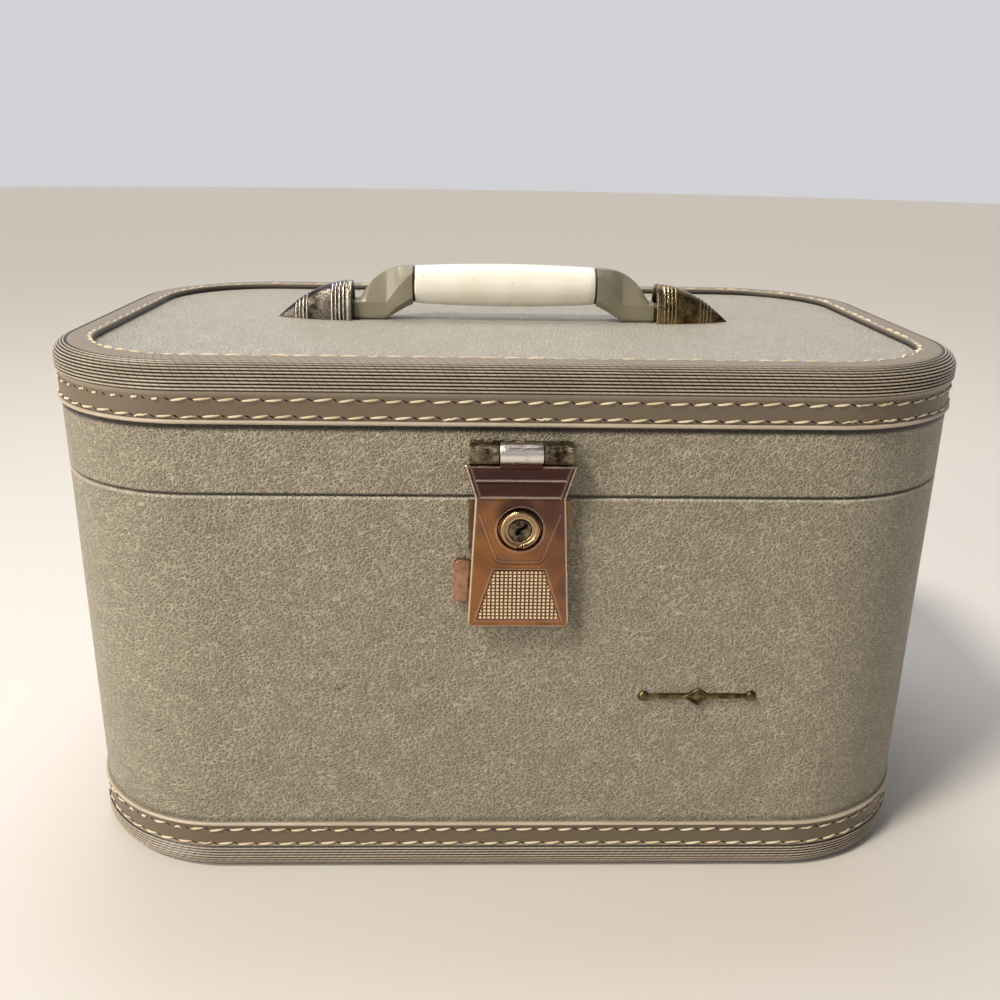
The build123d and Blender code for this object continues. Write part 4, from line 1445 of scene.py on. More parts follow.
    def stitch_flat(self, top: float) -> list[Object]:
        """Sews the row at the inner edge of the flat leg, which lies half sunk in its groove.

        Args:
            top: Height of the flat.

        Returns:
            The thread.
        """
        dice = random.Random(21)
        thread = TubeBundle()
        count = round(self.outline.length / self.stitch_pitch)
        pitch = self.outline.length / count
        for k in range(count):
            middle = k * pitch + dice.uniform(-0.4, 0.4) * MM
            missing = dice.random() < 0.45
            length = self.stitch_length * dice.uniform(0.85, 1.1)
            frayed = dice.random() < (0.55 if self.in_corner(middle) else 0.15)
            path, radii = [], []
            for step in range(5):
                share = step / 4 - 0.5
                station = self.outline.at(middle + share * length)
                rise = self.thread_radius * (0.85 * cos(pi * share) ** 0.5 - 0.7 - 0.8 * missing)
                sway = share * 0.5 * MM + (dice.uniform(-0.4, 0.4) * MM if frayed else 0)
                inset = self.leg - 0.9 * MM + sway
                path.append(station.point - station.outward * inset + Vector((0, 0, top + rise)))
                fuzz = dice.uniform(0.9, 1.6) if frayed else 1.0
                radii.append(self.thread_radius * (1.0 if 0 < step < 4 else 0.6) * fuzz)
            thread.add(path, radii)
            if frayed:
                self.fray(thread, path[dice.choice((1, 3))], Vector((0, 0, 1)), dice)
        return [settle(thread.make("lid_flat_thread", self.palette.thread), "lid", "binding_vinyl")]


@dataclass
class FrontLatch:
    """The latch: hinge leaf on the lid, flap with its lock, lock case and release slide."""

    palette: Palette
    front: float
    barrel_radius: float = 3.6 * MM
    centre_half: float = 7.2 * MM
    barrel_half: float = 17.2 * MM
    leaf: float = 0.8 * MM
    bore: float = 1.5 * MM
    waist_height: float = 152.5 * MM
    top_half: float = 18.8 * MM
    waist_half: float = 15.3 * MM
    bottom_half: float = 17.8 * MM
    bottom_round: float = 2.5 * MM
    flap_top: float = 163.9 * MM
    flap_step: float = 0.24 * MM
    front_depth: float = 5.2 * MM
    back_depth: float = 3.6 * MM
    line_heights: Point = (158.7 * MM, 152.8 * MM)
    lock_height: float = 141.5 * MM
    ring_radius: float = 7.5 * MM
    ring_proud: float = 1.6 * MM
    plug_radius: float = 3.75 * MM
    dome_radius: float = 6.95 * MM
    frame_top: Point = (13.8 * MM, 147.0 * MM)
    frame_foot: Point = (7.6 * MM, 129.7 * MM)
    knurl_top: Point = (8.8 * MM, 126.7 * MM)
    knurl_bottom: Point = (14.8 * MM, 107.8 * MM)
    knurl_rows: int = 14
    knurl_column: float = 1.46 * MM
    back_wear: float = 0.2
    knurl_sink: float = 0.3 * MM
    knurl_rise: float = 0.5 * MM
    leaf_rise: float = 3.2 * MM
    tab_reach: float = 5.65 * MM

    def __post_init__(self) -> None:
        """Reads the flap's place from the frame."""
        self.flap_low, self.flap_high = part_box("latch_flap")
        self.middle = (self.flap_low.x + self.flap_high.x) / 2
        pin_low, pin_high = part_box("latch_hinge_pin")
        self.axis = (pin_low + pin_high) / 2

    def place(self, across: float, out: float, height: float) -> Vector:
        """A place on the latch: from its middle, out of the covering's face, and its height."""
        return Vector((self.middle + across, self.front - out, height))

    def half_at(self, height: float) -> float:
        """Half width of the flap at a height."""
        low, waist = self.flap_low.z, self.waist_height
        if height > waist:
            spread = (self.top_half - self.waist_half) * (height - waist)
            half = self.waist_half + spread / (self.flap_top - waist)
        else:
            half = self.bottom_half + (self.waist_half - self.bottom_half) * (height - low) / (waist - low)
        above = height - low
        if above < self.bottom_round:
            fall = self.bottom_round - above
            half -= self.bottom_round - sqrt(max(0.0, self.bottom_round**2 - fall**2))
        return half

    def line_relief(self, distance: float) -> float:
        """Relief of a pressed line: a fine ridge between two grooves."""
        near = abs(distance) / MM
        return (0.14 * bell(near, 0.28) - 0.2 * bell(near - 0.62, 0.22)) * MM

    def frame_distance(self, across: float, height: float) -> float:
        """Distance from the open-topped frame line round the lock.

        Args:
            across: Distance from the flap's middle.
            height: Height above the floor.

        Returns:
            The distance, or a large one where the line doesn't run.
        """
        (top_half, top), (foot_half, foot) = self.frame_top, self.frame_foot
        side = abs(across)
        if height > top:
            return 1.0
        slope = Vector((top_half - foot_half, top - foot)).normalized()
        away = Vector((side - foot_half, height - foot))
        beside = away.x * slope.y - away.y * slope.x
        above = height - foot
        blend = 1.6 * MM
        if beside > -blend and above < blend and side < foot_half + 2 * MM:
            dx, dy = max(0.0, blend + beside), max(0.0, blend - above)
            return hypot(dx, dy) - blend
        return beside if abs(beside) < abs(above) else -above if side < foot_half + 0.5 * MM else beside

    def relief(self, across: float, height: float) -> tuple[float, float]:
        """Relief of the flap's face.

        Args:
            across: Distance from the flap's middle.
            height: Height above the floor.

        Returns:
            Height over the flat face, and how far the tint is rubbed off there.
        """
        half = self.half_at(height)
        edge = min(half - abs(across), self.flap_top - height, height - self.flap_low.z)
        fall = max(0.0, 1 - edge / (0.9 * MM))
        rise = -0.65 * MM * fall * fall
        worn = smooth_step(0.9 * MM - edge, 0.0, 0.5 * MM)
        rim = half - abs(across) - 1.9 * MM
        if height > self.line_heights[1] - 0.5 * MM:
            rise -= 0.16 * MM * smooth_step(min(rim, self.flap_top - 1.2 * MM - height), 0.0, 0.4 * MM)
            worn = max(worn, 0.3 * bell(rim, 0.3 * MM))
        for line in self.line_heights:
            if rim > 0.2 * MM:
                rise += self.line_relief(height - line)
                worn = max(worn, 0.75 * bell(height - line, 0.3 * MM))
        reach = self.frame_distance(across, height)
        if height < self.frame_top[1] and abs(reach) < 2 * MM:
            rise += self.line_relief(reach) * 0.9
            worn = max(worn, 0.18 * bell(reach, 0.28 * MM))
        from_lock = hypot(across, height - self.lock_height)
        collar = bell(from_lock - (self.ring_radius + 0.6 * MM), 0.35 * MM)
        rise += 0.22 * MM * collar
        worn = max(worn, 0.3 * collar)
        hole = self.ring_radius
        rise -= 1.1 * MM * (1 - smooth_step(from_lock, hole - 0.1 * MM, hole + 0.15 * MM))
        (top_half, top), (bottom_half, bottom) = self.knurl_top, self.knurl_bottom
        if bottom - 2 * MM < height < top + 2 * MM:
            share = (top - height) / (top - bottom)
            inside = top_half + (bottom_half - top_half) * share - abs(across)
            depth = min(inside * 0.95, top - height, height - bottom)
            rise -= self.knurl_sink * smooth_step(depth, 0.0, 0.25 * MM)
            rise += 0.12 * MM * bell(depth + 0.3 * MM, 0.22 * MM)
            worn = max(worn, 0.3 * bell(depth + 0.3 * MM, 0.25 * MM))
        return rise, worn

    def build_flap(self) -> Object:
        """Builds the flap's plate with all its pressed relief."""
        low, top = self.flap_low.z, self.flap_top
        count = round((top - low) / self.flap_step)
        even = [low + (top - low) * k / count for k in range(count + 1)]
        near_foot = [low + f * MM for f in (0.06, 0.12, 0.35)]
        columns = round(2 * self.top_half / self.flap_step)
        back = self.front - self.back_depth
        rows, worn = [], []
        for height in sorted({low, *even, *near_foot}):
            half = self.half_at(height)
            row, marks = [], []
            for c in range(columns + 1):
                across = half * (2 * c / columns - 1)
                rise, rubbed = self.relief(across, height)
                row.append(Vector((self.middle + across, self.front - self.front_depth - rise, height)))
                marks.append(rubbed)
            ends = [Vector((self.middle + side * half, back, height)) for side in (-1, 1)]
            rows.append([ends[0], *row, ends[1]])
            worn.append([self.back_wear, *marks, self.back_wear])
        foot, crown = ([Vector((p.x, back, p.z)) for p in row] for row in (rows[0], rows[-1]))
        plain = [self.back_wear] * len(foot)
        flat_marks = [mark for row in (plain, *worn, plain) for mark in row]
        rows = [foot, *rows, crown]
        plate = grid_object("flap_plate", rows, self.palette.copper, attributes={"worn": flat_marks})
        with opened(plate.data) as shape:
            bmesh.ops.remove_doubles(shape, verts=shape.verts, dist=0.002 * MM)
            bmesh.ops.edgeloop_fill(shape, edges=[edge for edge in shape.edges if edge.is_boundary])
        smooth(plate.data, 60)
        return settle(plate, "latch_flap", "flap_gilt", "latch_flap")

    def build_knurl(self) -> Object:
        """Builds the thumb grip: rows of small pyramids in their sunk field."""
        (top_half, top), (bottom_half, bottom) = self.knurl_top, self.knurl_bottom
        inset = 0.3 * MM
        pitch = (top - bottom - 2 * inset) / self.knurl_rows
        floor = self.front - self.front_depth + self.knurl_sink
        step = self.knurl_column
        foot, crown = 0.46, 0.27
        vertices, faces, crest = [], [], []
        for row in range(self.knurl_rows):
            height = bottom + inset + (row + 0.5) * pitch
            limit = top_half + (bottom_half - top_half) * (top - height) / (top - bottom) - inset
            reach = ceil(limit / step)
            for column in range(-reach, reach + 1):
                middle = column * step
                left, right = max(middle - foot * step, -limit), min(middle + foot * step, limit)
                if right - left < 0.45 * step:
                    continue
                first = len(vertices)
                # The crowns carry the crest mark: wear and painted highlight.
                for size, depth, bright in ((foot, 0.0, 0.0), (crown, self.knurl_rise, 1.0)):
                    shrink = (foot - size) * step
                    start, end = left + shrink, right - shrink
                    for side, way in ((start, -1), (end, -1), (end, 1), (start, 1)):
                        level = height + way * size * pitch
                        vertices.append(Vector((self.middle + side, floor - depth, level)))
                        crest.append(bright)
                for k in range(4):
                    n = (k + 1) % 4
                    faces.append([first + k, first + n, first + 4 + n, first + 4 + k])
                faces.append([first + 4 + k for k in range(4)])
        steel = self.palette.knurl
        knurl = make_object("flap_thumb_grip", vertices, faces, steel, {"crest": crest}, sharp=20)
        return settle(knurl, "latch_flap", "flap_gilt")

    def build_knuckles(self) -> list[Object]:
        """Builds the barrel's three knuckles, its pin, the leaf and the flap's strap."""
        made = []
        edge = 0.35 * MM
        radius = self.barrel_radius
        gap = 0.3 * MM
        inner, outer = self.centre_half, self.barrel_half
        plain, bright = self.palette.nickel, self.palette.bright_nickel
        for name, start, end, body, material, slot in (
            ("flap_knuckle", -inner, inner, "latch_flap", bright, "flap_gilt"),
            ("leaf_knuckle_left", -outer, -inner - gap, "lid", plain, "lock_nickel"),
            ("leaf_knuckle_right", inner + gap, outer, "lid", plain, "lock_nickel"),
        ):
            length = end - start
            profile = [
                (0.0, self.bore),
                (0.0, radius - edge),
                (edge * 0.3, radius - edge * 0.3),
                (edge, radius),
                *[(length * k / 8, radius - 0.05 * MM * (k % 2)) for k in range(1, 8)],
                (length - edge, radius),
                (length - edge * 0.3, radius - edge * 0.3),
                (length, radius - edge),
                (length, self.bore),
            ]
            centre = Vector((self.middle + start, self.axis.y, self.axis.z))
            knuckle = turned_object(name, profile, centre, RIGHT, material, steps=40)
            made.append(settle(knuckle, body, slot))
        snug = self.bore * 0.97
        rod = [(0.0, 0.0), (0.0, snug), (2 * outer, snug), (2 * outer, 0.0)]
        start = Vector((self.middle - outer, self.axis.y, self.axis.z))
        pin = turned_object("latch_pin", rod, start, RIGHT, plain, steps=24)
        made.append(settle(pin, "lid", "lock_nickel", "latch_hinge_pin"))
        low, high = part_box("latch_hinge_leaf")
        leaf_low = Vector((low.x, self.front - self.leaf, low.z))
        leaf_high = Vector((high.x, self.front, self.axis.z + self.leaf_rise))
        leaf = block_object("latch_leaf", leaf_low, leaf_high, 0.25 * MM, plain)
        made.append(settle(leaf, "lid", "lock_nickel", "latch_hinge_leaf"))
        strap_low = self.place(-inner, self.front_depth, self.flap_top - 1.5 * MM)
        strap_high = self.place(inner, self.back_depth, self.axis.z - 1.2 * MM)
        strap = block_object("flap_strap", strap_low, strap_high, 0.3 * MM, self.palette.copper)
        made.append(settle(strap, "latch_flap", "flap_gilt"))
        return made

    def build_lock(self) -> list[Object]:
        """Builds the key cylinder: the domed ring and the plug with its keyway."""
        centre = Vector((self.middle, self.front, self.lock_height))
        face = self.front_depth
        crown = face + self.ring_proud
        brow = self.dome_radius
        seat, neck, bore = self.back_depth - 1.3 * MM, 6.3 * MM, self.plug_radius + 0.05 * MM
        ring_profile = [
            (seat, bore), (seat, neck), (face - 0.9 * MM, neck), (face - 0.9 * MM, brow),
            (face + 0.3 * MM, brow), (face + 0.8 * MM, brow - 0.12 * MM),
            (face + 1.25 * MM, brow - 0.4 * MM), (crown - 0.06 * MM, brow - 0.75 * MM),
            (crown, brow - 1.05 * MM), (crown - 0.08 * MM, brow - 1.35 * MM),
            (crown - 0.35 * MM, brow - 1.75 * MM), (crown - 0.5 * MM, brow - 1.9 * MM),
            (crown - 0.5 * MM, 4.25 * MM), (crown - 0.6 * MM, 4.1 * MM), (crown - 0.9 * MM, bore),
        ]
        turn = FORWARD.to_track_quat("Z", "Y")
        rows = []
        for a, r in ring_profile:
            row = []
            for x, y in circle(r, 72):
                offset = turn @ Vector((x, y, a))
                # A notch is milled into the foot of the ring.
                from_foot = abs(atan2(offset.x, -offset.z))
                if from_foot < 0.11 and r > 5.6 * MM and a > face - 0.5 * MM:
                    offset += Vector((0, 0.9 * MM, 0))
                row.append(centre + offset)
            rows.append(row)
        rows.append(rows[0])
        ring = grid_object("lock_ring_dome", rows, self.palette.gilt, around=True)
        dressed = settle(ring, "latch_flap", "lock_nickel", "lock_ring")
        return [dressed, *self.build_plug(centre, crown - 0.5 * MM)]

    def keyway(self) -> list[Point]:
        """Outline of the S-shaped keyway, which stands at a slant."""
        bends = (
            (1.4, 2.7), (2.7, 2.1), (2.1, 0.9), (0.9, 0.3), (0.15, -0.35), (-0.5, -1.75),
            (-1.5, -1.8), (-1.75, -0.6), (-0.8, 0.75), (0.55, 1.2), (1.2, 1.8),
        )
        return [(x * MM, y * MM) for x, y in bends]

    def build_plug(self, centre: Vector, depth: float) -> list[Object]:
        """Builds the plug.

        Args:
            centre: Middle of the lock on the covering's face.
            depth: How far out of the covering the plug's face lies.

        Returns:
            The plug and the dark floor of its keyway.
        """
        slot_loop = self.keyway()
        rim = circle(self.plug_radius * 0.985, 48)
        mesh = bpy.data.meshes.new("key_plug_face")
        with opened(mesh) as shape:

            def loop(points: Sequence[Point], out: float) -> list[bmesh.types.BMVert]:
                """Adds a ring of corners that lies out from the covering."""
                return [shape.verts.new(centre + Vector((x, -out, z))) for x, z in points]

            outer, inner = loop(rim, depth), loop(slot_loop, depth)
            edges = [
                shape.edges.new((corners[k], corners[(k + 1) % len(corners)]))
                for corners in (outer, inner)
                for k in range(len(corners))
            ]
            bmesh.ops.triangle_fill(shape, use_beauty=True, use_dissolve=False, edges=edges)
            for corners, points, bottom in (
                (outer, rim, self.back_depth - 1.5 * MM),
                (inner, slot_loop, depth - 1.6 * MM),
            ):
                low_loop = loop(points, bottom)
                for k in range(len(corners)):
                    n = (k + 1) % len(corners)
                    shape.faces.new((corners[k], corners[n], low_loop[n], low_loop[k]))
        plug = shown(mesh, self.palette.nickel, 30)
        # A dark floor down in the keyway: painted shadow.
        floor = make_object(
            "keyway_floor",
            [centre + Vector((x, -(depth - 1.5 * MM), z)) for x, z in slot_loop],
            [list(range(len(slot_loop)))],
            self.palette.hole,
        )
        settle(floor, "key_plug", "lock_nickel")
        return [settle(plug, "key_plug", "lock_nickel", "lock_plug"), floor]

    def build_tab(self, low: Vector, high: Vector, right: float) -> Object:
        """Builds the thumb tab of the release slide, a plate whose free corners are round.

        Args:
            low: Lowest corner of the slide.
            high: Highest corner of the slide.
            right: Where the tab ends under the flap.

        Returns:
            The tab.
        """
        corner, soft = 1.9 * MM, 0.3 * MM
        outline = [(right, low.z), (right, high.z)]
        for middle_z, start in ((high.z - corner, QUARTER_TURN), (low.z + corner, pi)):
            for k in range(7):
                turn = start + QUARTER_TURN * k / 6
                outline.append((low.x + corner + corner * cos(turn), middle_z + corner * sin(turn)))
        centre_x, centre_z = (low.x + right) / 2, (low.z + high.z) / 2
        rows = []
        for y, shrink in (
            (self.front - 0.3 * MM, 0.0),
            (low.y + soft, 0.0),
            (low.y + soft * 0.3, soft * 0.3),
            (low.y, soft),
        ):
            rows.append([
                Vector((x - copysign(shrink, x - centre_x), y, z - copysign(shrink, z - centre_z)))
                for x, z in outline
            ])
        return grid_object("release_tab", rows, self.palette.tab_copper, around=True, cap_ends=True, sharp=50)

    def build_case(self) -> list[Object]:
        """Dresses the lock case and builds the release slide's tab and the flap's staple."""
        # The lock case takes the darker nickel copy: painted shade beside the flap.
        dress("lock_case", self.palette.shaded_nickel)
        dress("lock_cam", self.palette.nickel)
        low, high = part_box("latch_slide")
        tab_right = low.x + self.tab_reach
        tab = self.build_tab(low, high, tab_right)
        nickel = self.palette.nickel
        bar_low = Vector((tab_right - 1 * MM, self.front - 2.7 * MM, 118.3 * MM))
        bar_high = Vector((high.x, self.front - 1.9 * MM, 122.7 * MM))
        bar = block_object("release_bar", bar_low, bar_high, 0.15 * MM, nickel)
        settle(tab, "latch_slide", "flap_gilt", "latch_slide")
        made = [tab, settle(bar, "latch_slide", "flap_gilt")]
        for name, z_low, z_high, y_out in (
            ("staple_upper", 122.85, 124.5, 3.7),
            ("staple_lower", 116.5, 118.15, 3.7),
            ("staple_bridge", 116.5, 124.5, 1.6),
        ):
            piece_low = self.place(-2.4 * MM, y_out * MM, z_low * MM)
            piece_high = self.place(2.4 * MM, 1.0 * MM, z_high * MM)
            piece = block_object(name, piece_low, piece_high, 0.12 * MM, nickel)
            made.append(settle(piece, "latch_flap", "flap_gilt"))
        return made

    def build(self) -> list[Object]:
        """Builds the whole latch."""
        face = [self.build_flap(), self.build_knurl()]
        return [*face, *self.build_knuckles(), *self.build_lock(), *self.build_case()]


@dataclass
class CarryHandle:
    """The carrying handle: two caps on the lid, two faceted arms and a barrel-shaped grip."""

    palette: Palette
    setback: float = 5 * MM
    axis_height: float = 208 * MM
    mouth: float = 63.5 * MM
    tip: float = 95.4 * MM
    cap_height: float = 15.6 * MM
    cap_half: float = 8.2 * MM
    pocket_depth: float = 8.5 * MM
    pocket_half: float = 6.5 * MM
    pocket_height: float = 14.0 * MM
    ring_relief: float = 0.3 * MM
    mouth_rings: tuple[float, ...] = (3.4, 5.0, 6.6, 8.2)
    tip_rings: tuple[float, ...] = (19.0, 20.6, 22.2, 23.8)
    grip_half: float = 37.5 * MM
    grip_end: float = 7.7 * MM
    grip_middle: float = 8.75 * MM
    collar: float = 0.8 * MM
    collar_radius: float = 7.2 * MM
    end_round: float = 0.7 * MM
    arm_profile: tuple[tuple[float, ...], ...] = (
        # From the middle, underside, foot, crease, top, half width: millimetres.
        (38.3, 200.3, 203.4, 213.6, 215.7, 7.7),
        (40.0, 199.7, 202.6, 212.4, 215.6, 7.55),
        (43.9, 197.6, 200.0, 208.2, 215.3, 6.9),
        (46.6, 196.0, 198.0, 204.7, 214.8, 6.2),
        (49.3, 194.4, 195.6, 201.1, 213.8, 5.5),
        (52.2, 194.1, 195.0, 201.0, 212.2, 5.25),
        (55.0, 194.1, 195.0, 201.0, 210.0, 5.2),
        (58.0, 194.1, 195.0, 201.0, 206.2, 5.2),
        (60.7, 194.1, 195.0, 201.0, 202.3, 5.2),
        (62.8, 194.1, 195.0, 201.0, 202.1, 5.2),
        (63.2, 194.2, 195.0, 200.2, 201.2, 3.7),
        (71.3, 194.2, 195.0, 200.2, 201.2, 3.7),
    )

    def __post_init__(self) -> None:
        """Reads the lid panel's height from the frame."""
        self.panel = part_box("top_cover")[1].z

    def ring_rise(self, from_mouth: float) -> float:
        """Relief of the cast rings, and of the rim at the cap's mouth.

        Args:
            from_mouth: Distance from the mouth.

        Returns:
            How far the surface stands out there.
        """
        place = from_mouth / MM
        rise = 0.9 * smooth_step(2.0 - place, 0.0, 0.5)
        for ring in (*self.mouth_rings, *self.tip_rings):
            rise = max(rise, bell(place - ring, 0.38))
        return rise * self.ring_relief

    def arch(self, half: float, height: float, steps: int) -> list[Point]:
        """Upright arch on a flat foot.

        Args:
            half: Half its width.
            height: Its height.
            steps: How many stretches it has.

        Returns:
            Distance from the middle and height of each point.
        """
        points = []
        for k in range(steps + 1):
            turn = pi * k / steps
            across = copysign(abs(cos(turn)) ** 0.8, cos(turn))
            points.append((half * across, height * sin(turn) ** 0.85))
        return points

    def build_cap(self, name: str, side: int) -> Object:
        """Builds one cap with its rings, its rim and its hollow mouth.

        Args:
            name: The cap's name.
            side: -1 for the left one and 1 for the right one.

        Returns:
            The cap.
        """
        steps = 40
        length = self.tip - self.mouth
        rows = []
        crest: list[float] = []

        def row(from_mouth: float, half: float, height: float, bright: float = 0.0) -> None:
            """Adds one arch at a distance from the mouth."""
            x = side * (self.mouth + from_mouth)
            arch = self.arch(half, height, steps)
            rows.append([Vector((x, self.setback + across, self.panel + up)) for across, up in arch])
            crest.extend([bright] * (steps + 1))

        row(self.pocket_depth, 0.4 * MM, 0.4 * MM)
        row(self.pocket_depth, self.pocket_half, self.pocket_height)
        row(0.3 * MM, self.pocket_half, self.pocket_height)
        row(0.0, self.pocket_half + 0.3 * MM, self.pocket_height + 0.3 * MM)
        row(0.0, self.cap_half - 0.35 * MM, self.cap_height - 0.35 * MM)
        count = 130
        for k in range(count + 1):
            share = 0.01 + 0.985 * k / count
            scale = 1 - share**2
            rise = self.ring_rise(share * length) * min(1.0, scale * 4)
            swell = rise - self.ring_relief * 0.6
            past_rim = share * length > 2.5 * MM
            # Ring crests and the mouth's rim carry the crest mark: wear and painted highlight.
            bright = 0.85 * smooth_step(rise / self.ring_relief, 0.6, 1.0) if past_rim else 0.3
            row(share * length, self.cap_half * scale + swell, self.cap_height * scale + swell, bright)
        row(0.999 * length, 0.02 * MM, 0.02 * MM)
        # The right cap takes the browner copy of the casting: painted warm reflection.
        finish = self.palette.pewter if side < 0 else self.palette.dark_pewter
        cap = grid_object(name, rows, finish, attributes={"crest": crest}, sharp=55)
        return settle(cap, "lid", "cap_pewter", f"handle_cap_{side_word(side)}")

    def build_arm(self, name: str, side: int) -> Object:
        """Builds one faceted arm.

        Args:
            name: The arm's name.
            side: -1 for the left one and 1 for the right one.

        Returns:
            The arm.
        """
        rows = []
        for distance, low, foot, crease, high, half in self.arm_profile:
            undercut = 0.86 * half - 2.2 * smooth_step(49 - distance, 0, 8)
            section = [
                (-undercut, low), (undercut, low), (half * 0.97, foot), (half, crease),
                (half * 0.46, high), (-half * 0.46, high), (-half, crease), (-half * 0.97, foot),
            ]
            rows.append([Vector((side * distance * MM, self.setback + a * MM, h * MM)) for a, h in section])
        arm = grid_object(name, rows, self.palette.arm, around=True, cap_ends=True, sharp=30)
        bevel = arm.modifiers.new("rounded_edges", "BEVEL")
        bevel.width = 0.5 * MM
        bevel.segments = 3
        bevel.limit_method = "ANGLE"
        bevel.angle_limit = radians(9)
        return settle(arm, "handle", "arm_plastic", f"handle_arm_{side_word(side)}")

    def build_grip(self) -> list[Object]:
        """Builds the grip and the dark collars at its ends, their tone painted shade for the gap there."""
        soft, end, steps = self.end_round, self.grip_end, 24
        length = 2 * self.grip_half
        bow = self.grip_middle - end
        profile = [(0.0, 0.0), (0.0, end - soft)]
        rounding = [QUARTER_TURN * k / 4 for k in range(5)]
        edge = [(soft * (1 - cos(turn)), end - soft * (1 - sin(turn))) for turn in rounding]
        profile += edge[1:]
        shares = [k / steps for k in range(1, steps)]
        profile += [(length * share, end + bow * 4 * share * (1 - share)) for share in shares]
        profile += [(length - along, radius) for along, radius in edge[-2::-1]]
        profile.append((length, 0.0))
        start = Vector((-self.grip_half, self.setback, self.axis_height))
        grip = turned_object("ivory_grip", profile, start, RIGHT, self.palette.grip, steps=72)
        made = [settle(grip, "handle", "grip_plastic", "handle_grip")]
        thick, outer, inner = self.collar, self.collar_radius, 2 * MM
        washer = [(0.0, inner), (0.0, outer), (thick, outer), (thick, inner)]
        for name, x in (("collar_left", -self.grip_half - thick), ("collar_right", self.grip_half)):
            place = Vector((x, self.setback, self.axis_height))
            ring = turned_object(name, washer, place, RIGHT, self.palette.collar)
            made.append(settle(ring, "handle", "collar_rubber"))
        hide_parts("handle_collars")
        dress("handle_core", self.palette.strip)
        return made

    def build(self) -> list[Object]:
        """Builds the whole handle.

        Returns:
            Its pieces.
        """
        return [
            self.build_cap("cap_left", -1),
            self.build_cap("cap_right", 1),
            self.build_arm("arm_left", -1),
            self.build_arm("arm_right", 1),
            *self.build_grip(),
        ]


@dataclass
class BackHinges:
    """The two butt hinges on the back, with their rivets."""

    palette: Palette
    rivet_radius: float = 2.2 * MM
    rivet_rise: float = 0.9 * MM
    rivet_spacing: float = 13 * MM
    from_axis: float = 11 * MM
    knuckle: float = 2.6 * MM
    leaf: float = 1.2 * MM

    def build(self) -> list[Object]:
        """Dresses the leaves and pins and builds the rivets.

        Returns:
            The rivets.
        """
        made = []
        steel = self.palette.hinge_steel
        dress("hinge_pins", steel)
        head = dome(self.rivet_rise, self.rivet_radius, 6)
        for side in ("left", "right"):
            for level, way, body in (("lower", -1, "case"), ("upper", 1, "lid")):
                node = f"hinge_{side}_{level}_leaf"
                dress(node, steel)
                low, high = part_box(node)
                axis_height = low.z + self.knuckle if way > 0 else high.z - self.knuckle
                height = axis_height + way * self.from_axis
                middle = (low.x + high.x) / 2
                for k in (-1, 0, 1):
                    centre = Vector((middle + k * self.rivet_spacing, low.y + self.leaf, height))
                    name = f"rivet_{side}_{level}_{k + 2}"
                    rivet = turned_object(name, head, centre, BACKWARD, steel, steps=28)
                    made.append(settle(rivet, body, "hinge_steel"))
        return made


@dataclass
class Inside:
    """Boards, linings, ledges, tray, mirror and closing strip."""

    palette: Palette

    def build(self) -> list[str]:
        """Dresses the inside's nodes.

        Returns:
            Their names.
        """
        palette = self.palette
        finishes = {
            "body_wall": palette.board,
            "bottom_board": palette.board,
            "lid_wall": palette.board,
            "top_board": palette.board,
            "bottom_cover": palette.body_vinyl,
            "body_lining": palette.lining,
            "lid_lining": palette.lining,
            "tray_ledges": palette.lining,
            # Its dark tone stands in for the shade down in the seam.
            "closure_strip": palette.strip,
            "tray": palette.tray,
            "mirror_frame": palette.frame,
            "mirror": palette.mirror,
        }
        for node, material in finishes.items():
            dress(node, material)
        return list(finishes)


@dataclass
class Ornament:
    """The small cast bar with two ball ends and a faceted lozenge on the front."""

    palette: Palette
    bar_half: float = 1.1 * MM
    ball: float = 2.1 * MM
    rise: float = 1.6 * MM
    lozenge: Point = (5.5 * MM, 3.5 * MM)
    lozenge_steps: tuple[Point, ...] = (
        # Share of the width and share of the rise.
        (1.0, 0.0), (1.0, 0.65), (0.95, 0.8), (0.82, 0.8), (0.74, 0.5), (0.68, 0.5), (0.35, 0.85), (0.04, 1.0)
    )

    def build(self) -> list[Object]:
        """Builds the ornament.

        Returns:
            Its pieces.
        """
        low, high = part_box("badge_bar")
        middle = Vector(((low.x + high.x) / 2, high.y, (low.z + high.z) / 2))
        end = (high.x - low.x) / 2 - self.ball
        rows = []
        for step in range(25):
            x = middle.x - end + 2 * end * step / 24
            waist = 1 - 0.25 * cos(pi * (2 * step / 24 - 1)) ** 2
            turns = [pi * k / 8 for k in range(9)]
            rows.append([
                Vector((
                    x,
                    middle.y - 0.8 * self.rise * sin(turn) * waist,
                    middle.z + self.bar_half * waist * cos(turn),
                ))
                for turn in turns
            ])
        bronze = self.palette.bronze
        made = [settle(grid_object("ornament_bar", rows, bronze), "case", "badge_bronze", "badge_bar")]
        half_ball = dome(self.rise, self.ball, 7)
        for side in (-1, 1):
            centre = Vector((middle.x + side * end, middle.y, middle.z))
            name = f"ornament_ball_{side_word(side)}"
            ball = turned_object(name, half_ball, centre, FORWARD, bronze, steps=28)
            made.append(settle(ball, "case", "badge_bronze"))
        made.append(self.build_lozenge(middle))
        return made

    def build_lozenge(self, middle: Vector) -> Object:
        """Builds the lozenge: a flat rim, a groove and a low pyramid.

        Args:
            middle: Middle of the ornament on the covering.

        Returns:
            The lozenge.
        """
        long, short = self.lozenge
        corners = ((-long, 0.0), (0.0, -short), (long, 0.0), (0.0, short))
        rows = [
            [middle + Vector((x * share, -self.rise * depth, z * share)) for x, z in corners]
            for share, depth in self.lozenge_steps
        ]
        bronze = self.palette.bronze
        lozenge = grid_object("ornament_lozenge", rows, bronze, around=True, cap_ends=True, sharp=25)
        return settle(lozenge, "case", "badge_bronze")


# -------------------------------------------------------------------------------- the studio


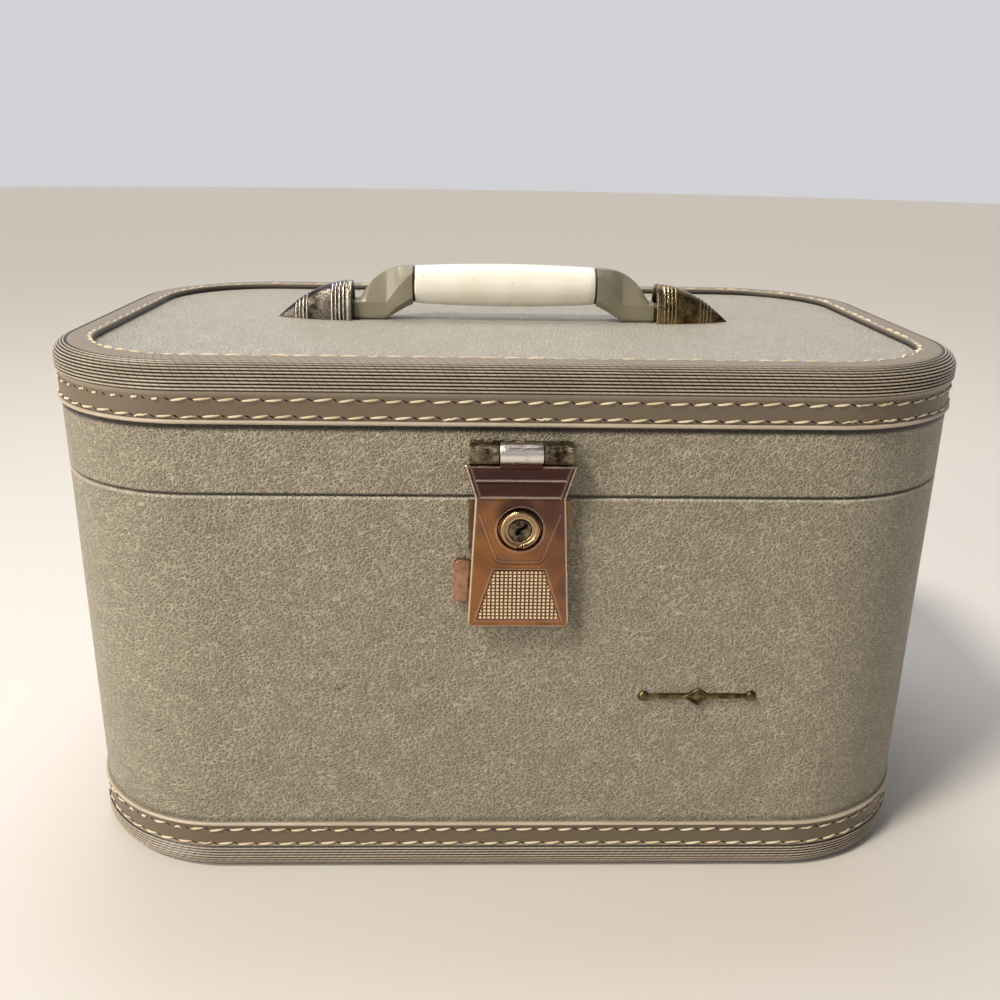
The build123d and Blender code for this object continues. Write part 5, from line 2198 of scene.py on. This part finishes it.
@dataclass
class Studio:
    """Floor, light and camera."""

    palette: Palette
    lens: float = 36.597
    sensor: float = 36.0
    camera_place: Triple = (-13.867 * MM, -427.669 * MM, 264.005 * MM)
    pitch: float = radians(19.3)
    yaw: float = radians(1.777)
    roll: float = radians(0.996)

    def build_camera(self) -> None:
        """Builds the camera from its place and its three angles."""
        data = bpy.data.cameras.new("camera")
        data.lens, data.sensor_width = self.lens, self.sensor
        data.clip_start, data.clip_end = 0.01, 50
        camera = linked("camera", data)
        flat = cos(self.pitch)
        forward = Vector((sin(self.yaw) * flat, cos(self.yaw) * flat, -sin(self.pitch)))
        level = Vector((cos(self.yaw), -sin(self.yaw), 0))
        up = level.cross(forward)
        right = level * cos(self.roll) + up * sin(self.roll)
        top = -level * sin(self.roll) + up * cos(self.roll)
        turned = Matrix((right, top, -forward)).transposed().to_4x4()
        camera.matrix_world = Matrix.Translation(self.camera_place) @ turned
        bpy.context.scene.camera = camera

    def build_floor(self) -> None:
        """Builds the floor, a flat disc that lies just below the case."""
        rings = (0.02, 0.4, 0.8, 1.6, 3.2, 6.0)
        rows = [[Vector((x, y, 0)) for x, y in circle(radius, 48)] for radius in rings]
        floor = grid_object("studio_floor", rows, self.palette.floor, around=True)
        with opened(floor.data) as shape:
            hub = [edge for edge in shape.edges if edge.is_boundary and edge.verts[0].co.length < 0.1]
            bmesh.ops.holes_fill(shape, edges=hub)
        floor.location.z = -0.2 * MM

    def hang(
        self, name: str, kind: str, place: Vector, heading: Vector, power: float, tint: str
    ) -> bpy.types.Light:
        """Hangs a light.

        Args:
            name: The light's name.
            kind: AREA or SUN.
            place: Where it hangs.
            heading: Where it shines.
            power: Its power in watts, or a sun's strength.
            tint: Its colour.

        Returns:
            The light's own data, which still needs its size.
        """
        data = bpy.data.lights.new(name, kind)
        data.energy = power
        data.color = linear(tint)[:3]
        lamp = linked(name, data)
        lamp.location = place
        lamp.rotation_mode = "QUATERNION"
        lamp.rotation_quaternion = heading.to_track_quat("-Z", "Y")
        return data

    def build_softbox(self, name: str, place: Vector, size: float, watts: float, tint: str) -> None:
        """Builds one square soft light that looks at the middle of the case."""
        data = self.hang(name, "AREA", place, Vector((0, 0, 0.1)) - place, watts, tint)
        data.shape, data.size = "SQUARE", size

    def build_surround(self) -> None:
        """Builds the room: the wall behind the case is pale and the rest dimmer, so metal shows both."""
        world = bpy.data.worlds.new("studio_surround")
        world.use_nodes = True
        desk = NodeDesk(world.node_tree)
        heading = add_node(desk.tree, "ShaderNodeSeparateXYZ", links={0: desk.place("Generated")})
        behind = desk.window(heading.outputs[1], -0.2, 0.6)
        ground = desk.tree.nodes["Background"]
        desk.tree.links.new(desk.layered(behind, "4c4741", "dcdce0"), ground.inputs["Color"])
        ground.inputs["Strength"].default_value = 0.9
        bpy.context.scene.world = world

    def build(self) -> None:
        """Builds the floor, the lights, the surround and the camera."""
        self.build_floor()
        rays = Vector((0.6, 0.42, -1.0))
        sun = self.hang("key_light", "SUN", -rays * 3, rays, 2.3, "fff4e6")
        sun.angle = radians(11)
        self.build_softbox("left_softbox", Vector((-0.75, -0.5, 0.45)), 0.4, 4.6, "fff7ec")
        self.build_softbox("fill_light", Vector((0.35, -1.5, 0.9)), 0.9, 3.0, "f6f4fb")
        self.build_softbox("top_softbox", Vector((-0.1, 0.3, 1.1)), 0.5, 5.0, "fbf9ff")
        self.build_surround()
        bpy.context.scene.view_settings.view_transform = "Standard"
        self.build_camera()


def report(piece: str, made: Sequence[object]) -> None:
    """Logs how many pieces a sub-assembly made."""
    log.info("%s: %d pieces", piece, len(made))


def main() -> None:
    """Builds every sub-assembly in order, then the studio."""
    logging.basicConfig(level=logging.INFO, format="%(name)s %(message)s")
    cover_low, cover_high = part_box("body_cover")
    outline = PlanOutline(half_width=cover_high.x, half_depth=cover_high.y)
    palette = Palette()
    assemblies = (
        ("coverings", Coverings(outline, palette)),
        ("bindings", EdgeBindings(outline, palette)),
        ("latch", FrontLatch(palette, front=cover_low.y)),
        ("handle", CarryHandle(palette)),
        ("hinges", BackHinges(palette)),
        ("inside", Inside(palette)),
        ("ornament", Ornament(palette)),
    )
    for name, assembly in assemblies:
        report(name, assembly.build())
    Studio(palette).build()


if __name__ == "__main__":
    main()
